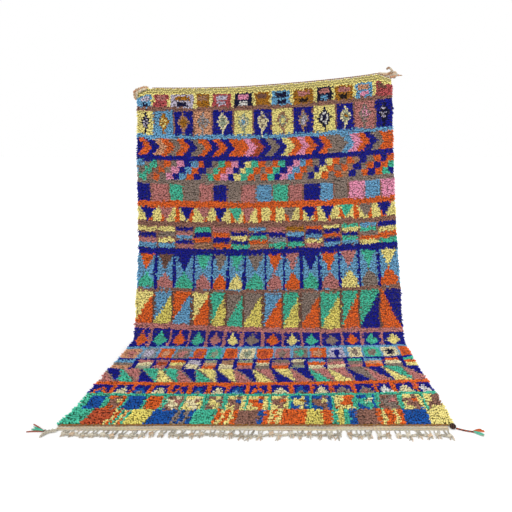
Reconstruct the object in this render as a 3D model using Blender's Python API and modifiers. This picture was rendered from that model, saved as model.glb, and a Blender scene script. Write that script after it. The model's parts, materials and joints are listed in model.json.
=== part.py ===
"""Berber rug that hangs by its top edge, bends at the floor and runs forward over it.

Metres, with +Z up and the floor at z = 0. The pile of the hung part faces -Y and the rug runs forward along
-Y, so its front end, with the knotted fringe, is the far -Y end. Each sub-part is one object.
"""

import math
import random
from bisect import bisect_right
from collections import namedtuple

import bmesh
import bpy
from mathutils import Vector, noise

# Driving sizes of the rug
RUG_LENGTH = 2.884
BACKING = 0.004
PILE = 0.017
PILE_UNEVEN = 0.35
EDGE_WANDER = 0.006
CLUMP = 0.075
COLUMNS = 24
COLUMNS_CLOSER = 0.6
ROWS = 72
GAP = 0.0003

# Where the front edge's middle lies, which puts the middle of the whole footprint on the origin
FRONT_X = -0.0042
FRONT_Y = -0.6165

# Twined cords along the two ends
TOP_CORD_RADIUS = 0.0042
TOP_CORD_FROM = 3
FRONT_CORD_RADIUS = 0.0038
FRONT_CORD_SIDE = 0.012

# Flat-woven end with its net of knotted warp ends, on the floor
STRIP_DEPTH = 0.040
STRIP_WANDER = 0.002
STRIP_HEIGHT = 0.004
STRIP_SIDE_LEFT, STRIP_SIDE_RIGHT = 0.004, 0.028
NET_SIDE = 0.036
YARN_HEIGHT = 0.006
YARN_WIDTH = 0.011
KNOTS = 40
KNOT_AHEAD = 0.045
KNOT_WIDTH, KNOT_DEPTH, KNOT_HEIGHT = 0.032, 0.024, 0.017
KNOT_WANDER = 0.005
TAIL_SHORT, TAIL_LONG = 0.010, 0.034
LINKED_SHARE = 0.75
NET_SEED = 11

# Corner pieces
BRAID_RADIUS = 0.016
BUNCH_RADIUS = 0.010
CURL_RADIUS = 0.0085
RIDGE = 0.05
DARK_KNOT = Vector((0.015, 0.017, 0.012))

Station = namedtuple("Station", "reach height")
# The drape seen from the side, from the top edge down to the front edge: how far forward and how high it is.
PROFILE = (
    Station(0.000, 1.920),
    Station(0.005, 1.600),
    Station(0.014, 1.260),
    Station(0.032, 0.934),
    Station(0.070, 0.573),
    Station(0.112, 0.380),
    Station(0.156, 0.228),
    Station(0.212, 0.098),
    Station(0.262, 0.038),
    Station(0.322, 0.008),
    Station(0.395, 0.000),
    Station(0.480, 0.000),
    Station(1.355, 0.000),
)

Row = namedtuple("Row", "along width drift tilt sag")
# The outline from the top edge (along = 0) to the front edge (along = 1): how wide the rug is, how far it lies
# to the right, how much higher its right side is pulled than its left, and its two sides than its middle.
OUTLINE = (
    Row(0.000, 1.888, -0.0505, 0.122, 0.041),
    Row(0.150, 1.895, -0.0475, 0.054, 0.037),
    Row(0.290, 1.893, -0.0380, 0.030, 0.037),
    Row(0.410, 1.888, -0.0240, 0.037, 0.037),
    Row(0.500, 1.894, -0.0155, 0.023, 0.034),
    Row(0.595, 1.875, -0.0100, -0.040, 0.020),
    Row(0.650, 1.844, -0.0030, -0.017, 0.024),
    Row(0.850, 1.861, 0.0015, 0.030, 0.026),
    Row(0.960, 1.881, 0.0070, 0.008, 0.007),
    Row(1.000, 1.900, 0.0000, 0.000, 0.000),
)

Fold = namedtuple("Fold", "across width depth")
# Soft upright folds of the hung part, which fade out above the floor.
FOLDS = (
    Fold(0.13, 0.09, 0.010),
    Fold(0.36, 0.12, -0.007),
    Fold(0.60, 0.10, 0.008),
    Fold(0.86, 0.08, -0.009),
)
FOLDS_END = 0.55

Droop = namedtuple("Droop", "side depth reach")
# Upper corners that hang below the line of the top edge: at the left (side 0) and at the right (side 1).
DROOPS = (
    Droop(0, 0.030, 0.040),
    Droop(1, 0.050, 0.055),
)
DROOP_LENGTH = 0.17

Step = namedtuple("Step", "right forward width height")
# Routes on the floor, from the middle of the front edge: each row is a place with the yarn's width and height.
PLAIT_ROUTE = (
    Step(-0.9330, 0.0492, 0.017, 0.010),
    Step(-0.9470, 0.0522, 0.022, 0.015),
    Step(-0.9610, 0.0552, 0.019, 0.012),
    Step(-0.9730, 0.0642, 0.022, 0.014),
    Step(-0.9815, 0.0802, 0.017, 0.011),
    Step(-0.9870, 0.1002, 0.008, 0.006),
)
FAN_HEAD = Step(-0.9869, 0.0516, 0.016, 0.010)
FAN_LOCKS = (
    (Step(-1.030, 0.0187, 0.006, 0.006), Step(-1.072, -0.0108, 0.006, 0.005)),
    (Step(-1.030, 0.0292, 0.007, 0.006), Step(-1.066, 0.0112, 0.011, 0.004)),
    (Step(-1.031, 0.0397, 0.007, 0.006), Step(-1.068, 0.0322, 0.011, 0.004)),
    (Step(-1.031, 0.0502, 0.006, 0.006), Step(-1.0725, 0.0542, 0.006, 0.005)),
)
DARK_KNOT_AT = Step(0.9380, 0.0184, 0.030, 0.024)
TAG_STEM = (
    Step(0.9515, 0.0262, 0.007, 0.006),
    Step(0.9740, 0.0385, 0.006, 0.005),
    Step(1.0000, 0.0490, 0.007, 0.006),
)
TAG_HEAD = Step(1.0240, 0.0560, 0.010, 0.008)
TAG_LOCKS = (
    (Step(1.0560, 0.0430, 0.016, 0.009), Step(1.0820, 0.0440, 0.010, 0.006)),
    (Step(1.0480, 0.0720, 0.015, 0.008), Step(1.0700, 0.0880, 0.010, 0.006)),
)

Place = namedtuple("Place", "right up radius")
# Routes in the plane of the hung part, from the upper corner of the rug that the piece holds on to.
BRAID_ROUTE = (
    Place(0.0800, 0.0375, 0.50),
    Place(0.0560, 0.0385, 0.88),
    Place(0.0280, 0.0280, 1.00),
    Place(-0.0030, 0.0185, 1.00),
    Place(-0.0150, 0.0100, 1.00),
    Place(-0.0180, -0.0040, 1.00),
    Place(-0.0178, -0.0200, 0.95),
    Place(-0.0158, -0.0380, 0.78),
    Place(-0.0105, -0.0540, 0.42),
)
BUNCH_ROUTE = (
    Place(-0.0980, 0.0470, 0.42),
    Place(-0.0600, 0.0400, 0.95),
    Place(-0.0300, 0.0334, 1.60),
    Place(-0.0060, 0.0360, 2.10),
    Place(0.0160, 0.0365, 2.30),
    Place(0.0330, 0.0310, 1.60),
    Place(0.0470, 0.0275, 0.75),
    Place(0.0630, 0.0270, 0.50),
    Place(0.0800, 0.0260, 0.40),
)
CURL_ROUTE = (
    Place(0.0060, 0.0450, 1.00),
    Place(0.0030, 0.0620, 1.00),
    Place(-0.0060, 0.0760, 1.00),
    Place(-0.0180, 0.0830, 0.95),
    Place(-0.0300, 0.0790, 0.85),
    Place(-0.0330, 0.0680, 0.65),
)


def slope(xs, ys, i):
    """Slope of a smooth curve through the points at its point i."""
    if i == 0:
        return (ys[1] - ys[0]) / (xs[1] - xs[0])
    if i == len(xs) - 1:
        return (ys[-1] - ys[-2]) / (xs[-1] - xs[-2])
    before, after = xs[i] - xs[i - 1], xs[i + 1] - xs[i]
    rise_before = (ys[i] - ys[i - 1]) / before
    rise_after = (ys[i + 1] - ys[i]) / after
    return (rise_before * after + rise_after * before) / (before + after)


def smooth(xs, ys, x):
    """Height at x of the smooth curve through the points, held level past both ends."""
    x = max(xs[0], min(xs[-1], x))
    i = max(0, min(bisect_right(xs, x) - 1, len(xs) - 2))
    span = xs[i + 1] - xs[i]
    f = (x - xs[i]) / span
    start, end = slope(xs, ys, i) * span, slope(xs, ys, i + 1) * span
    rise = ys[i + 1] - ys[i]
    return ys[i] + f * (start + f * (3 * rise - 2 * start - end + f * (start + end - 2 * rise)))


def fade(x):
    """Runs smoothly from 1 at x = 0 to 0 at x = 1."""
    x = max(0.0, min(1.0, x))
    return 1 - x * x * (3 - 2 * x)


def drape_tables():
    """Lengths along the drape, counted from the front edge, with the reach and the height there."""
    lengths, reaches, heights = [0.0], [PROFILE[-1].reach], [PROFILE[-1].height]
    for station in reversed(PROFILE[:-1]):
        step = math.hypot(station.reach - reaches[-1], station.height - heights[-1])
        lengths.append(lengths[-1] + step)
        reaches.append(station.reach)
        heights.append(station.height)
    return lengths, reaches, heights


LENGTHS, REACHES, HEIGHTS = drape_tables()


def outline(along, column):
    """One column of the outline table, read smoothly between its rows."""
    xs = [row.along for row in OUTLINE]
    return smooth(xs, [getattr(row, column) for row in OUTLINE], along)


def droop(across, along):
    """How far an upper corner hangs below the line of the top edge."""
    down = fade(along * RUG_LENGTH / DROOP_LENGTH)
    total = 0.0
    for corner in DROOPS:
        inward = abs(across - corner.side) * OUTLINE[0].width
        total += corner.depth * fade(inward / (2 * corner.reach)) * down
    return total


def fold_depth(across, along):
    """How far the soft folds bring the hung part forward."""
    depth = sum(f.depth * math.exp(-(((across - f.across) / f.width) ** 2)) for f in FOLDS)
    return depth * fade(along / FOLDS_END)


def column_across(i):
    """Where grid line i lies across the rug: the lines are closer together at its sides."""
    even = i / COLUMNS
    return even - COLUMNS_CLOSER * math.sin(2 * math.pi * even) / (2 * math.pi)


def back_point(across, along):
    """A point on the rug's back: across runs from 0 at the left to 1, along from 0 at the top edge to 1."""
    lift = outline(along, "tilt") * (across - 0.5) + outline(along, "sag") * (2 * across - 1) ** 2
    length = (1 - along) * RUG_LENGTH + lift - droop(across, along)
    reach = smooth(LENGTHS, REACHES, length) + fold_depth(across, along)
    height = max(0.0, smooth(LENGTHS, HEIGHTS, length))
    side = noise.noise(Vector((across, along * RUG_LENGTH / CLUMP, 0.5)))
    x = outline(along, "drift") + (across - 0.5) * (outline(along, "width") + 2 * EDGE_WANDER * side)
    return Vector((FRONT_X + x, FRONT_Y + PROFILE[-1].reach - reach, height))


def pile_share(across, along):
    """Thickness of the rug there, as a share of its greatest thickness: the pile stands in uneven clumps."""
    lumps = noise.noise(Vector((across * outline(along, "width"), along * RUG_LENGTH, 0)) / CLUMP)
    return 1 - PILE_UNEVEN * (0.5 + 0.5 * lumps) * PILE / (BACKING + PILE)


def yarn_material(name, colour, roughness=0.9):
    """Matt wool or cotton of one colour."""
    material = bpy.data.materials.new(name)
    material.use_nodes = True
    shader = material.node_tree.nodes["Principled BSDF"]
    shader.inputs["Base Color"].default_value = (*colour, 1)
    shader.inputs["Roughness"].default_value = roughness
    shader.inputs["Metallic"].default_value = 0
    material.diffuse_color = (*colour, 1)
    return material


def add_object(collection, name, data, material):
    """A named object in the collection, with its own material."""
    obj = bpy.data.objects.new(name, data)
    data.materials.append(material)
    collection.objects.link(obj)
    return obj


def new_surface():
    """An empty surface whose vertices can each carry a share of the thickness."""
    bm = bmesh.new()
    bm.verts.layers.deform.new("thickness")
    return bm


def thicken(obj, bm, shares, thickness):
    """Gives an open surface its thickness on the upper or pile side, by the share noted for each vertex."""
    layer = bm.verts.layers.deform.active
    for vert in bm.verts:
        vert[layer][0] = shares[vert]
    bm.to_mesh(obj.data)
    bm.free()
    obj.vertex_groups.new(name="thickness")
    solidify = obj.modifiers.new("Thickness", "SOLIDIFY")
    solidify.thickness = thickness
    solidify.offset = 1
    solidify.vertex_group = "thickness"
    solidify.thickness_vertex_group = 0
    obj.data.shade_smooth()
    obj.data.set_sharp_from_angle(angle=math.radians(50))


def build_rug(collection):
    """The rug itself: its back follows the drape, and the pile side is a lumpy slab over it."""
    bm = new_surface()
    bmesh.ops.create_grid(bm, x_segments=COLUMNS, y_segments=ROWS, size=0.5)
    shares = {}
    for vert in bm.verts:
        across, along = column_across((vert.co.x + 0.5) * COLUMNS), 0.5 - vert.co.y
        shares[vert] = pile_share(across, along)
        vert.co = back_point(across, along)
    obj = add_object(
        collection, "rug", bpy.data.meshes.new("rug"), yarn_material("pile wool", (0.25, 0.28, 0.42))
    )
    thicken(obj, bm, shares, BACKING + PILE)
    return obj


def tube(collection, name, points, radii, material):
    """A round yarn or cord through the points, with a radius at each."""
    curve = bpy.data.curves.new(name, "CURVE")
    curve.dimensions = "3D"
    curve.bevel_depth = 1
    curve.bevel_resolution = 2
    curve.use_fill_caps = True
    line = curve.splines.new("POLY")
    line.points.add(len(points) - 1)
    for knot, point, radius in zip(line.points, points, radii):
        knot.co = (*point, 1)
        knot.radius = radius
    line.use_smooth = True
    return add_object(collection, name, curve, material)


def smooth_route(route, per_step):
    """Reads a smooth curve, row by row, through the rows of a route."""
    rows = [tuple(row) for row in route]
    stops = [0.0]
    for a, b in zip(rows, rows[1:]):
        stops.append(stops[-1] + math.hypot(b[0] - a[0], b[1] - a[1]))
    columns = list(zip(*rows))
    count = per_step * (len(rows) - 1)
    lengths = [stops[-1] * i / count for i in range(count + 1)]
    return [type(route[0])(*(smooth(stops, column, s) for column in columns)) for s in lengths]


def top_line(first, distance):
    """Points at a distance above the rug's top edge, one for each grid line from the first to the last."""
    middle = Vector((0, -(BACKING + PILE) / 2, 0))
    edge = [back_point(column_across(i), 0) + middle for i in range(first, COLUMNS + 1)]
    points = []
    for i, point in enumerate(edge):
        before = (point - edge[max(i - 1, 0)]).normalized()
        after = (edge[min(i + 1, len(edge) - 1)] - point).normalized()
        run = (before + after).normalized()
        upward = Vector((-run.z, 0, run.x)).normalized()
        spread = max(0.8, run.dot(after if i == 0 else before))
        points.append(point + upward * distance / spread)
    return points


def build_top_cord(collection):
    """The twined cord on the top edge, from the braid to the gathered warp ends."""
    points = top_line(TOP_CORD_FROM, TOP_CORD_RADIUS + 2 * GAP)
    radii = [TOP_CORD_RADIUS] * len(points)
    return tube(collection, "top_cord", points, radii, yarn_material("twined cord", (0.36, 0.17, 0.07)))


def build_front_cord(collection):
    """The twined cord across the front, in the corner between the pile's edge and the flat-woven end."""
    width = OUTLINE[-1].width
    ends = (-width / 2 + FRONT_CORD_SIDE, width / 2 - STRIP_SIDE_RIGHT)
    y = FRONT_Y - GAP - FRONT_CORD_RADIUS
    z = STRIP_HEIGHT + GAP + FRONT_CORD_RADIUS
    points = [Vector((FRONT_X + x, y, z)) for x in ends]
    radii = [FRONT_CORD_RADIUS] * 2
    return tube(collection, "front_cord", points, radii, yarn_material("twined cord, front", (0.33, 0.15, 0.07)))


class FloorSurface:
    """An open surface on the floor, made of polygons that share vertices, each vertex with its height."""

    def __init__(self):
        self.bm = new_surface()
        self.heights = {}

    def vert(self, right, forward, height):
        """A vertex at a place counted from the middle of the front edge."""
        vert = self.bm.verts.new((FRONT_X + right, FRONT_Y - forward, 0))
        self.heights[vert] = height
        return vert

    def pair(self, step, heading):
        """Two vertices, left and right of a route's place, square to its heading."""
        side = Vector((-heading.y, heading.x)) * step.width / 2
        left = self.vert(step.right + side.x, step.forward + side.y, step.height)
        right = self.vert(step.right - side.x, step.forward - side.y, step.height)
        return left, right

    def ribbon(self, root, route):
        """Quads from the root edge along the route: one yarn, lock or strand."""
        for i, step in enumerate(route):
            before = route[i - 1] if i else None
            heading = Vector((step.right, step.forward))
            if before:
                heading -= Vector((before.right, before.forward))
            else:
                middle = (root[0].co + root[1].co) / 2
                heading -= Vector((middle.x - FRONT_X, FRONT_Y - middle.y))
            tip = self.pair(step, heading.normalized())
            if (root[1].co - root[0].co).dot(tip[1].co - tip[0].co) < 0:
                tip = (tip[1], tip[0])
            self.bm.faces.new((root[0], root[1], tip[1], tip[0]))
            root = tip
        return root

    def knot(self, step, corners, depth):
        """A raised knot: a ring of corners round a higher middle. It returns the ring's vertices."""
        ring = []
        for i in range(corners):
            angle = 2 * math.pi * (i + 0.5) / corners
            x = step.right + math.cos(angle) * step.width / 2
            y = step.forward + math.sin(angle) * depth / 2
            ring.append(self.vert(x, y, step.height * 0.5))
        middle = self.vert(step.right, step.forward, step.height)
        for i in range(corners):
            self.bm.faces.new((ring[i], ring[(i + 1) % corners], middle))
        return ring

    def finish(self, collection, name, material):
        """Turns every face up and gives the surface its heights."""
        self.bm.normal_update()
        for face in self.bm.faces:
            if face.normal.z < 0:
                face.normal_flip()
        tallest = max(self.heights.values())
        shares = {vert: height / tallest for vert, height in self.heights.items()}
        obj = add_object(collection, name, bpy.data.meshes.new(name), material)
        thicken(obj, self.bm, shares, tallest)
        return obj


def build_fringe(collection):
    """The flat-woven end strip and, fused to it, the warp ends, which are knotted in pairs and linked."""
    rng = random.Random(NET_SEED)
    surface = FloorSurface()
    left = -OUTLINE[-1].width / 2 + STRIP_SIDE_LEFT
    right = OUTLINE[-1].width / 2 - STRIP_SIDE_RIGHT
    start = left + NET_SIDE
    pitch = (right - start) / KNOTS
    roots = [left]
    for cell in range(KNOTS):
        middle = start + pitch * (cell + 0.5)
        for side in (-1, 1):
            root = middle + side * pitch * rng.uniform(0.20, 0.30)
            roots += [root - YARN_WIDTH / 2, root + YARN_WIDTH / 2]
    roots.append(right)
    back = [surface.vert(x, GAP, STRIP_HEIGHT) for x in roots]
    wavy = [0.0] + [rng.uniform(-STRIP_WANDER, STRIP_WANDER) for _ in roots[1:]]
    front = [surface.vert(x, STRIP_DEPTH + wave, STRIP_HEIGHT) for x, wave in zip(roots, wavy)]
    for i in range(len(roots) - 1):
        surface.bm.faces.new((back[i], back[i + 1], front[i + 1], front[i]))
    rings = []
    for cell in range(KNOTS):
        at = Step(
            start + pitch * (cell + 0.5) + rng.uniform(-KNOT_WANDER, KNOT_WANDER),
            STRIP_DEPTH + KNOT_AHEAD * rng.uniform(0.75, 1.20),
            KNOT_WIDTH * rng.uniform(0.8, 1.05),
            KNOT_HEIGHT * rng.uniform(0.75, 1.0),
        )
        ring = surface.knot(at, 10, KNOT_DEPTH * rng.uniform(0.85, 1.15))
        rings.append(ring)
        first = 1 + 4 * cell
        # The ring's vertices run from the right side towards the front, so 5 to 9 face the strip.
        surface.bm.faces.new((front[first], front[first + 1], ring[6], ring[5]))
        surface.bm.faces.new((front[first + 2], front[first + 3], ring[9], ring[8]))
        for edge, lean in ((1, rng.uniform(-0.2, 0.5)), (3, rng.uniform(-0.5, 0.2))):
            length = rng.uniform(TAIL_SHORT, TAIL_LONG)
            middle = (ring[edge].co + ring[edge + 1].co) / 2
            place = Vector((middle.x - FRONT_X, FRONT_Y - middle.y))
            heading = Vector((lean, 1)).normalized()
            route = [
                Step(*(place + heading * length * share), YARN_WIDTH * taper, YARN_HEIGHT * taper)
                for share, taper in ((0.55, 0.9), (1.0, 0.45))
            ]
            surface.ribbon((ring[edge], ring[edge + 1]), route)
    for cell in range(KNOTS - 1):
        if rng.random() < LINKED_SHARE:
            a, b = rings[cell], rings[cell + 1]
            surface.bm.faces.new((a[9], a[0], b[4], b[5]))
    return surface.finish(collection, "end_fringe", yarn_material("undyed warp", (0.62, 0.56, 0.46)))


def build_plait(collection):
    """The undyed plait at the front left corner, lying on the floor with its loose end."""
    surface = FloorSurface()
    first, rest = PLAIT_ROUTE[0], smooth_route(PLAIT_ROUTE, 2)[1:]
    heading = Vector((rest[0].right - first.right, rest[0].forward - first.forward)).normalized()
    surface.ribbon(surface.pair(first, heading), rest)
    return surface.finish(collection, "front_left_plait", yarn_material("undyed plait", (0.60, 0.54, 0.44)))


def build_fan(collection):
    """The fan tassel at the front left corner: two cords with locks of green yarn between them."""
    surface = FloorSurface()
    ring = surface.knot(FAN_HEAD, 12, FAN_HEAD.width)
    # The ring's vertices 4 to 8 face left and back, one edge for each lock.
    for place, lock in enumerate(FAN_LOCKS):
        edge = 7 - place
        surface.ribbon((ring[edge], ring[edge + 1]), lock)
    return surface.finish(collection, "front_left_tassel", yarn_material("green tassel", (0.10, 0.45, 0.36)))


def build_dark_knot(collection):
    """The wound knot of dark yarn at the front right corner, with a small flat where it rests."""
    bm = bmesh.new()
    bmesh.ops.create_uvsphere(bm, u_segments=14, v_segments=8, radius=1)
    for vert in bm.verts:
        wound = 1 + 0.06 * math.sin(5 * math.atan2(vert.co.y, vert.co.x) + 4 * vert.co.z)
        scaled = Vector(a * b for a, b in zip(vert.co * wound, DARK_KNOT))
        vert.co = Vector((scaled.x, scaled.y, max(scaled.z, -0.8 * DARK_KNOT.z)))
    bmesh.ops.translate(
        bm,
        verts=bm.verts,
        vec=Vector((FRONT_X + DARK_KNOT_AT.right, FRONT_Y - DARK_KNOT_AT.forward, 0.8 * DARK_KNOT.z)),
    )
    mesh = bpy.data.meshes.new("front_right_knot")
    bm.to_mesh(mesh)
    bm.free()
    mesh.shade_smooth()
    return add_object(collection, "front_right_knot", mesh, yarn_material("dark yarn", (0.10, 0.05, 0.035)))


def build_tag(collection):
    """The thin cord at the front right corner, with its two tufts, lying on the floor."""
    surface = FloorSurface()
    ring = surface.knot(TAG_HEAD, 8, TAG_HEAD.width)
    surface.ribbon((ring[3], ring[4]), tuple(reversed(TAG_STEM)))
    surface.ribbon((ring[7], ring[6]), TAG_LOCKS[0])
    surface.ribbon((ring[0], ring[1]), TAG_LOCKS[1])
    return surface.finish(collection, "front_right_tassel", yarn_material("orange tassel", (0.62, 0.16, 0.05)))


def hung_route(route, corner, radius):
    """Points and radii of a ridged route in the hung part's plane, counted from an upper corner of the rug."""
    rows = smooth_route(route, 3)
    points = [corner + Vector((row.right, 0, row.up)) for row in rows]
    return points, [row.radius * radius * (1 - RIDGE * (i % 2)) for i, row in enumerate(rows)]


def upper_corner(across):
    """The upper corner of the rug, in the middle of its thickness."""
    return back_point(across, 0) + Vector((0, -(BACKING + PILE) * 0.5, 0))


def build_braid(collection):
    """The braid that curls over the upper left corner."""
    points, radii = hung_route(BRAID_ROUTE, upper_corner(0), BRAID_RADIUS)
    return tube(collection, "top_left_braid", points, radii, yarn_material("braid", (0.50, 0.27, 0.16)))


def mesh_from_curve(obj, collection):
    """Replaces a curve object with a closed mesh object of the same name and shape."""
    name, material = obj.name, obj.data.materials[0]
    graph = bpy.context.evaluated_depsgraph_get()
    mesh = bpy.data.meshes.new_from_object(obj.evaluated_get(graph))
    bm = bmesh.new()
    bm.from_mesh(mesh)
    bmesh.ops.remove_doubles(bm, verts=bm.verts, dist=0.00001)
    bm.to_mesh(mesh)
    bm.free()
    matrix = obj.matrix_world.copy()
    bpy.data.objects.remove(obj)
    mesh.materials.clear()
    solid = add_object(collection, name, mesh, material)
    solid.matrix_world = matrix
    return solid


def build_bunch(collection, helpers):
    """The gathered warp ends at the upper right corner: a bundle along the edge with a curl, as one solid."""
    corner = upper_corner(1)
    material = yarn_material("gathered warp", (0.55, 0.46, 0.38))
    points, radii = hung_route(BUNCH_ROUTE, corner, BUNCH_RADIUS)
    bunch = tube(collection, "top_right_bunch", points, radii, material)
    points, radii = hung_route(CURL_ROUTE, corner, CURL_RADIUS)
    curl = tube(helpers, "bunch_curl_helper", points, radii, material)
    bunch, curl = mesh_from_curve(bunch, collection), mesh_from_curve(curl, helpers)
    union = bunch.modifiers.new("Curl", "BOOLEAN")
    union.operation = "UNION"
    union.solver = "EXACT"
    union.object = curl
    curl.hide_render = True
    curl.display_type = "WIRE"
    return bunch


def main():
    """Clears the scene, then builds each sub-part."""
    for obj in list(bpy.data.objects):
        bpy.data.objects.remove(obj)
    scene = bpy.context.scene
    rug = bpy.data.collections.new("Berber rug")
    helpers = bpy.data.collections.new("Cutters")
    scene.collection.children.link(rug)
    scene.collection.children.link(helpers)
    build_rug(rug)
    build_top_cord(rug)
    build_front_cord(rug)
    build_fringe(rug)
    build_braid(rug)
    build_bunch(rug, helpers)
    build_plait(rug)
    build_fan(rug)
    build_dark_knot(rug)
    build_tag(rug)


main()
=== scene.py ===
"""Berber pile rug, hung by its top edge and running forward over the floor, dressed on its CAD frame."""

import json
import logging
import math
import random
from dataclasses import dataclass, field
from enum import Enum
from typing import Callable, Sequence

import bpy
import numpy as np
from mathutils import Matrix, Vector, noise

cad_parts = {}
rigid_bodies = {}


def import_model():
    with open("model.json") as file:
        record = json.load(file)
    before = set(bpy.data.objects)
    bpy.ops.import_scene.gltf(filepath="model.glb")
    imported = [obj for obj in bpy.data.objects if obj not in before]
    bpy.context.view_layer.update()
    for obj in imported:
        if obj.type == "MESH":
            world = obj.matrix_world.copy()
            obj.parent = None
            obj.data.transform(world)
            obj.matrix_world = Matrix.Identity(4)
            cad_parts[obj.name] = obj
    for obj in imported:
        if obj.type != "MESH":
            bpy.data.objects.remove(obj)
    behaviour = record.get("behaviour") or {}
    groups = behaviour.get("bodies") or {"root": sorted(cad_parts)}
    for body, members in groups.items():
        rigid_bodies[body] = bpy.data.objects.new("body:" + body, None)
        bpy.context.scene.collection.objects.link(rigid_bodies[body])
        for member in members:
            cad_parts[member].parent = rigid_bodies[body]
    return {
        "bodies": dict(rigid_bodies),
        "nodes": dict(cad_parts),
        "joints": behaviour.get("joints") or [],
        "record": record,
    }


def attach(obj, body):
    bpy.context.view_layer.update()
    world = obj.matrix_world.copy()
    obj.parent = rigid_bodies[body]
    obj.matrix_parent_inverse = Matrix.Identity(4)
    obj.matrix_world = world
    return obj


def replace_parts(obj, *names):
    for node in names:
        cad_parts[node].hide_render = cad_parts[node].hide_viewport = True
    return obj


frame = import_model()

log = logging.getLogger("rug")

# The rug in metres, the same as its solid: length, ground, pile with its unevenness, the wander of the sides
# and the size of a lump.
RUG_LENGTH = 2.884
BACKING = 0.004
PILE = 0.017
PILE_UNEVEN = 0.35
EDGE_WANDER = 0.006
CLUMP = 0.075
# The middle of the front edge on the floor.
FRONT_X = -0.0042
FRONT_Y = -0.6165
# The grid across the solid, and how much closer its lines are at the sides.
GRID_COLUMNS = 24
COLUMNS_CLOSER = 0.6
# Shades of each yarn, how bright the brightest may be, and the share of its colour that is left in the bare
# yarns outside the pile.
TINTS = 6
BRIGHTEST = 0.93
FREE_YARN = 0.62
# The knots across the rug and along it.
KNOTS_ACROSS = 142
KNOTS_ALONG = 242
# The design: its length and the end of its last band, both in widths of the rug, and the parts of the width
# in which its tables count.
DESIGN_LENGTH = 1.5545
DESIGN_END = 1.56
WIDTH_PARTS = 1500
# How far above the floor the lowest point of a yarn and of a lock stays.
YARN_LOW = 0.0002
LOCK_LOW = 0.0004


@dataclass(frozen=True)
class Station:
    """One place on the drape's side view: how far forward it reaches and how high it is."""

    reach: float
    height: float


@dataclass(frozen=True)
class Row:
    """The rug's outline at one share of its length."""

    along: float
    width: float
    drift: float
    tilt: float
    sag: float


@dataclass(frozen=True)
class Fold:
    """A soft fold that runs down the hung part."""

    across: float
    width: float
    depth: float


@dataclass(frozen=True)
class Droop:
    """An upper corner that hangs below the line of the top edge."""

    side: float
    depth: float
    reach: float


PROFILE = tuple(
    Station(*row)
    for row in (
        (0.0, 1.92), (0.005, 1.60), (0.014, 1.26), (0.032, 0.934), (0.070, 0.573), (0.112, 0.380),
        (0.156, 0.228), (0.212, 0.098), (0.262, 0.038), (0.322, 0.008), (0.395, 0.0), (0.480, 0.0),
        (1.355, 0.0),
    )
)
OUTLINE = (
    Row(0.000, 1.888, -0.0505, 0.122, 0.041),
    Row(0.150, 1.895, -0.0475, 0.054, 0.037),
    Row(0.290, 1.893, -0.0380, 0.030, 0.037),
    Row(0.410, 1.888, -0.0240, 0.037, 0.037),
    Row(0.500, 1.894, -0.0155, 0.023, 0.034),
    Row(0.595, 1.875, -0.0100, -0.040, 0.020),
    Row(0.650, 1.844, -0.0030, -0.017, 0.024),
    Row(0.850, 1.861, 0.0015, 0.030, 0.026),
    Row(0.960, 1.881, 0.0070, 0.008, 0.007),
    Row(1.000, 1.900, 0.0000, 0.000, 0.000),
)
FOLDS = (Fold(0.13, 0.09, 0.010), Fold(0.36, 0.12, -0.007), Fold(0.60, 0.10, 0.008), Fold(0.86, 0.08, -0.009))
FOLDS_END = 0.55
DROOPS = (Droop(0, 0.030, 0.040), Droop(1, 0.050, 0.055))
DROOP_LENGTH = 0.17


class Curve:
    """A smooth curve through a table's points, held level past both ends."""

    def __init__(self, xs: Sequence[float], ys: Sequence[float]) -> None:
        """Stores the points and works out the slope at each.

        Args:
            xs: Places along the curve, rising.
            ys: The value at each place.
        """
        self.xs = np.array(xs, float)
        self.ys = np.array(ys, float)
        spans = np.diff(self.xs)
        rises = np.diff(self.ys) / spans
        inner = (rises[:-1] * spans[1:] + rises[1:] * spans[:-1]) / (spans[:-1] + spans[1:])
        self.slopes = np.concatenate(([rises[0]], inner, [rises[-1]]))

    def __call__(self, x: np.ndarray) -> np.ndarray:
        """The curve's value at each x."""
        x = np.clip(x, self.xs[0], self.xs[-1])
        i = np.clip(np.searchsorted(self.xs, x, side="right") - 1, 0, len(self.xs) - 2)
        span = self.xs[i + 1] - self.xs[i]
        f = (x - self.xs[i]) / span
        start = self.slopes[i] * span
        end = self.slopes[i + 1] * span
        rise = self.ys[i + 1] - self.ys[i]
        return self.ys[i] + f * (start + f * (3 * rise - 2 * start - end + f * (start + end - 2 * rise)))


def fade(x: np.ndarray) -> np.ndarray:
    """One at x = 0, falling softly to nothing at x = 1."""
    x = np.clip(x, 0, 1)
    return 1 - x * x * (3 - 2 * x)


def lumps(points: np.ndarray) -> np.ndarray:
    """Smooth noise from -1 to 1 at each row of an array of places."""
    return np.array([noise.noise(Vector(p)) for p in points.tolist()])


def unit(vectors: np.ndarray) -> np.ndarray:
    """Each row brought to length one."""
    return vectors / np.maximum(np.linalg.norm(vectors, axis=-1, keepdims=True), 1e-9)


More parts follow.
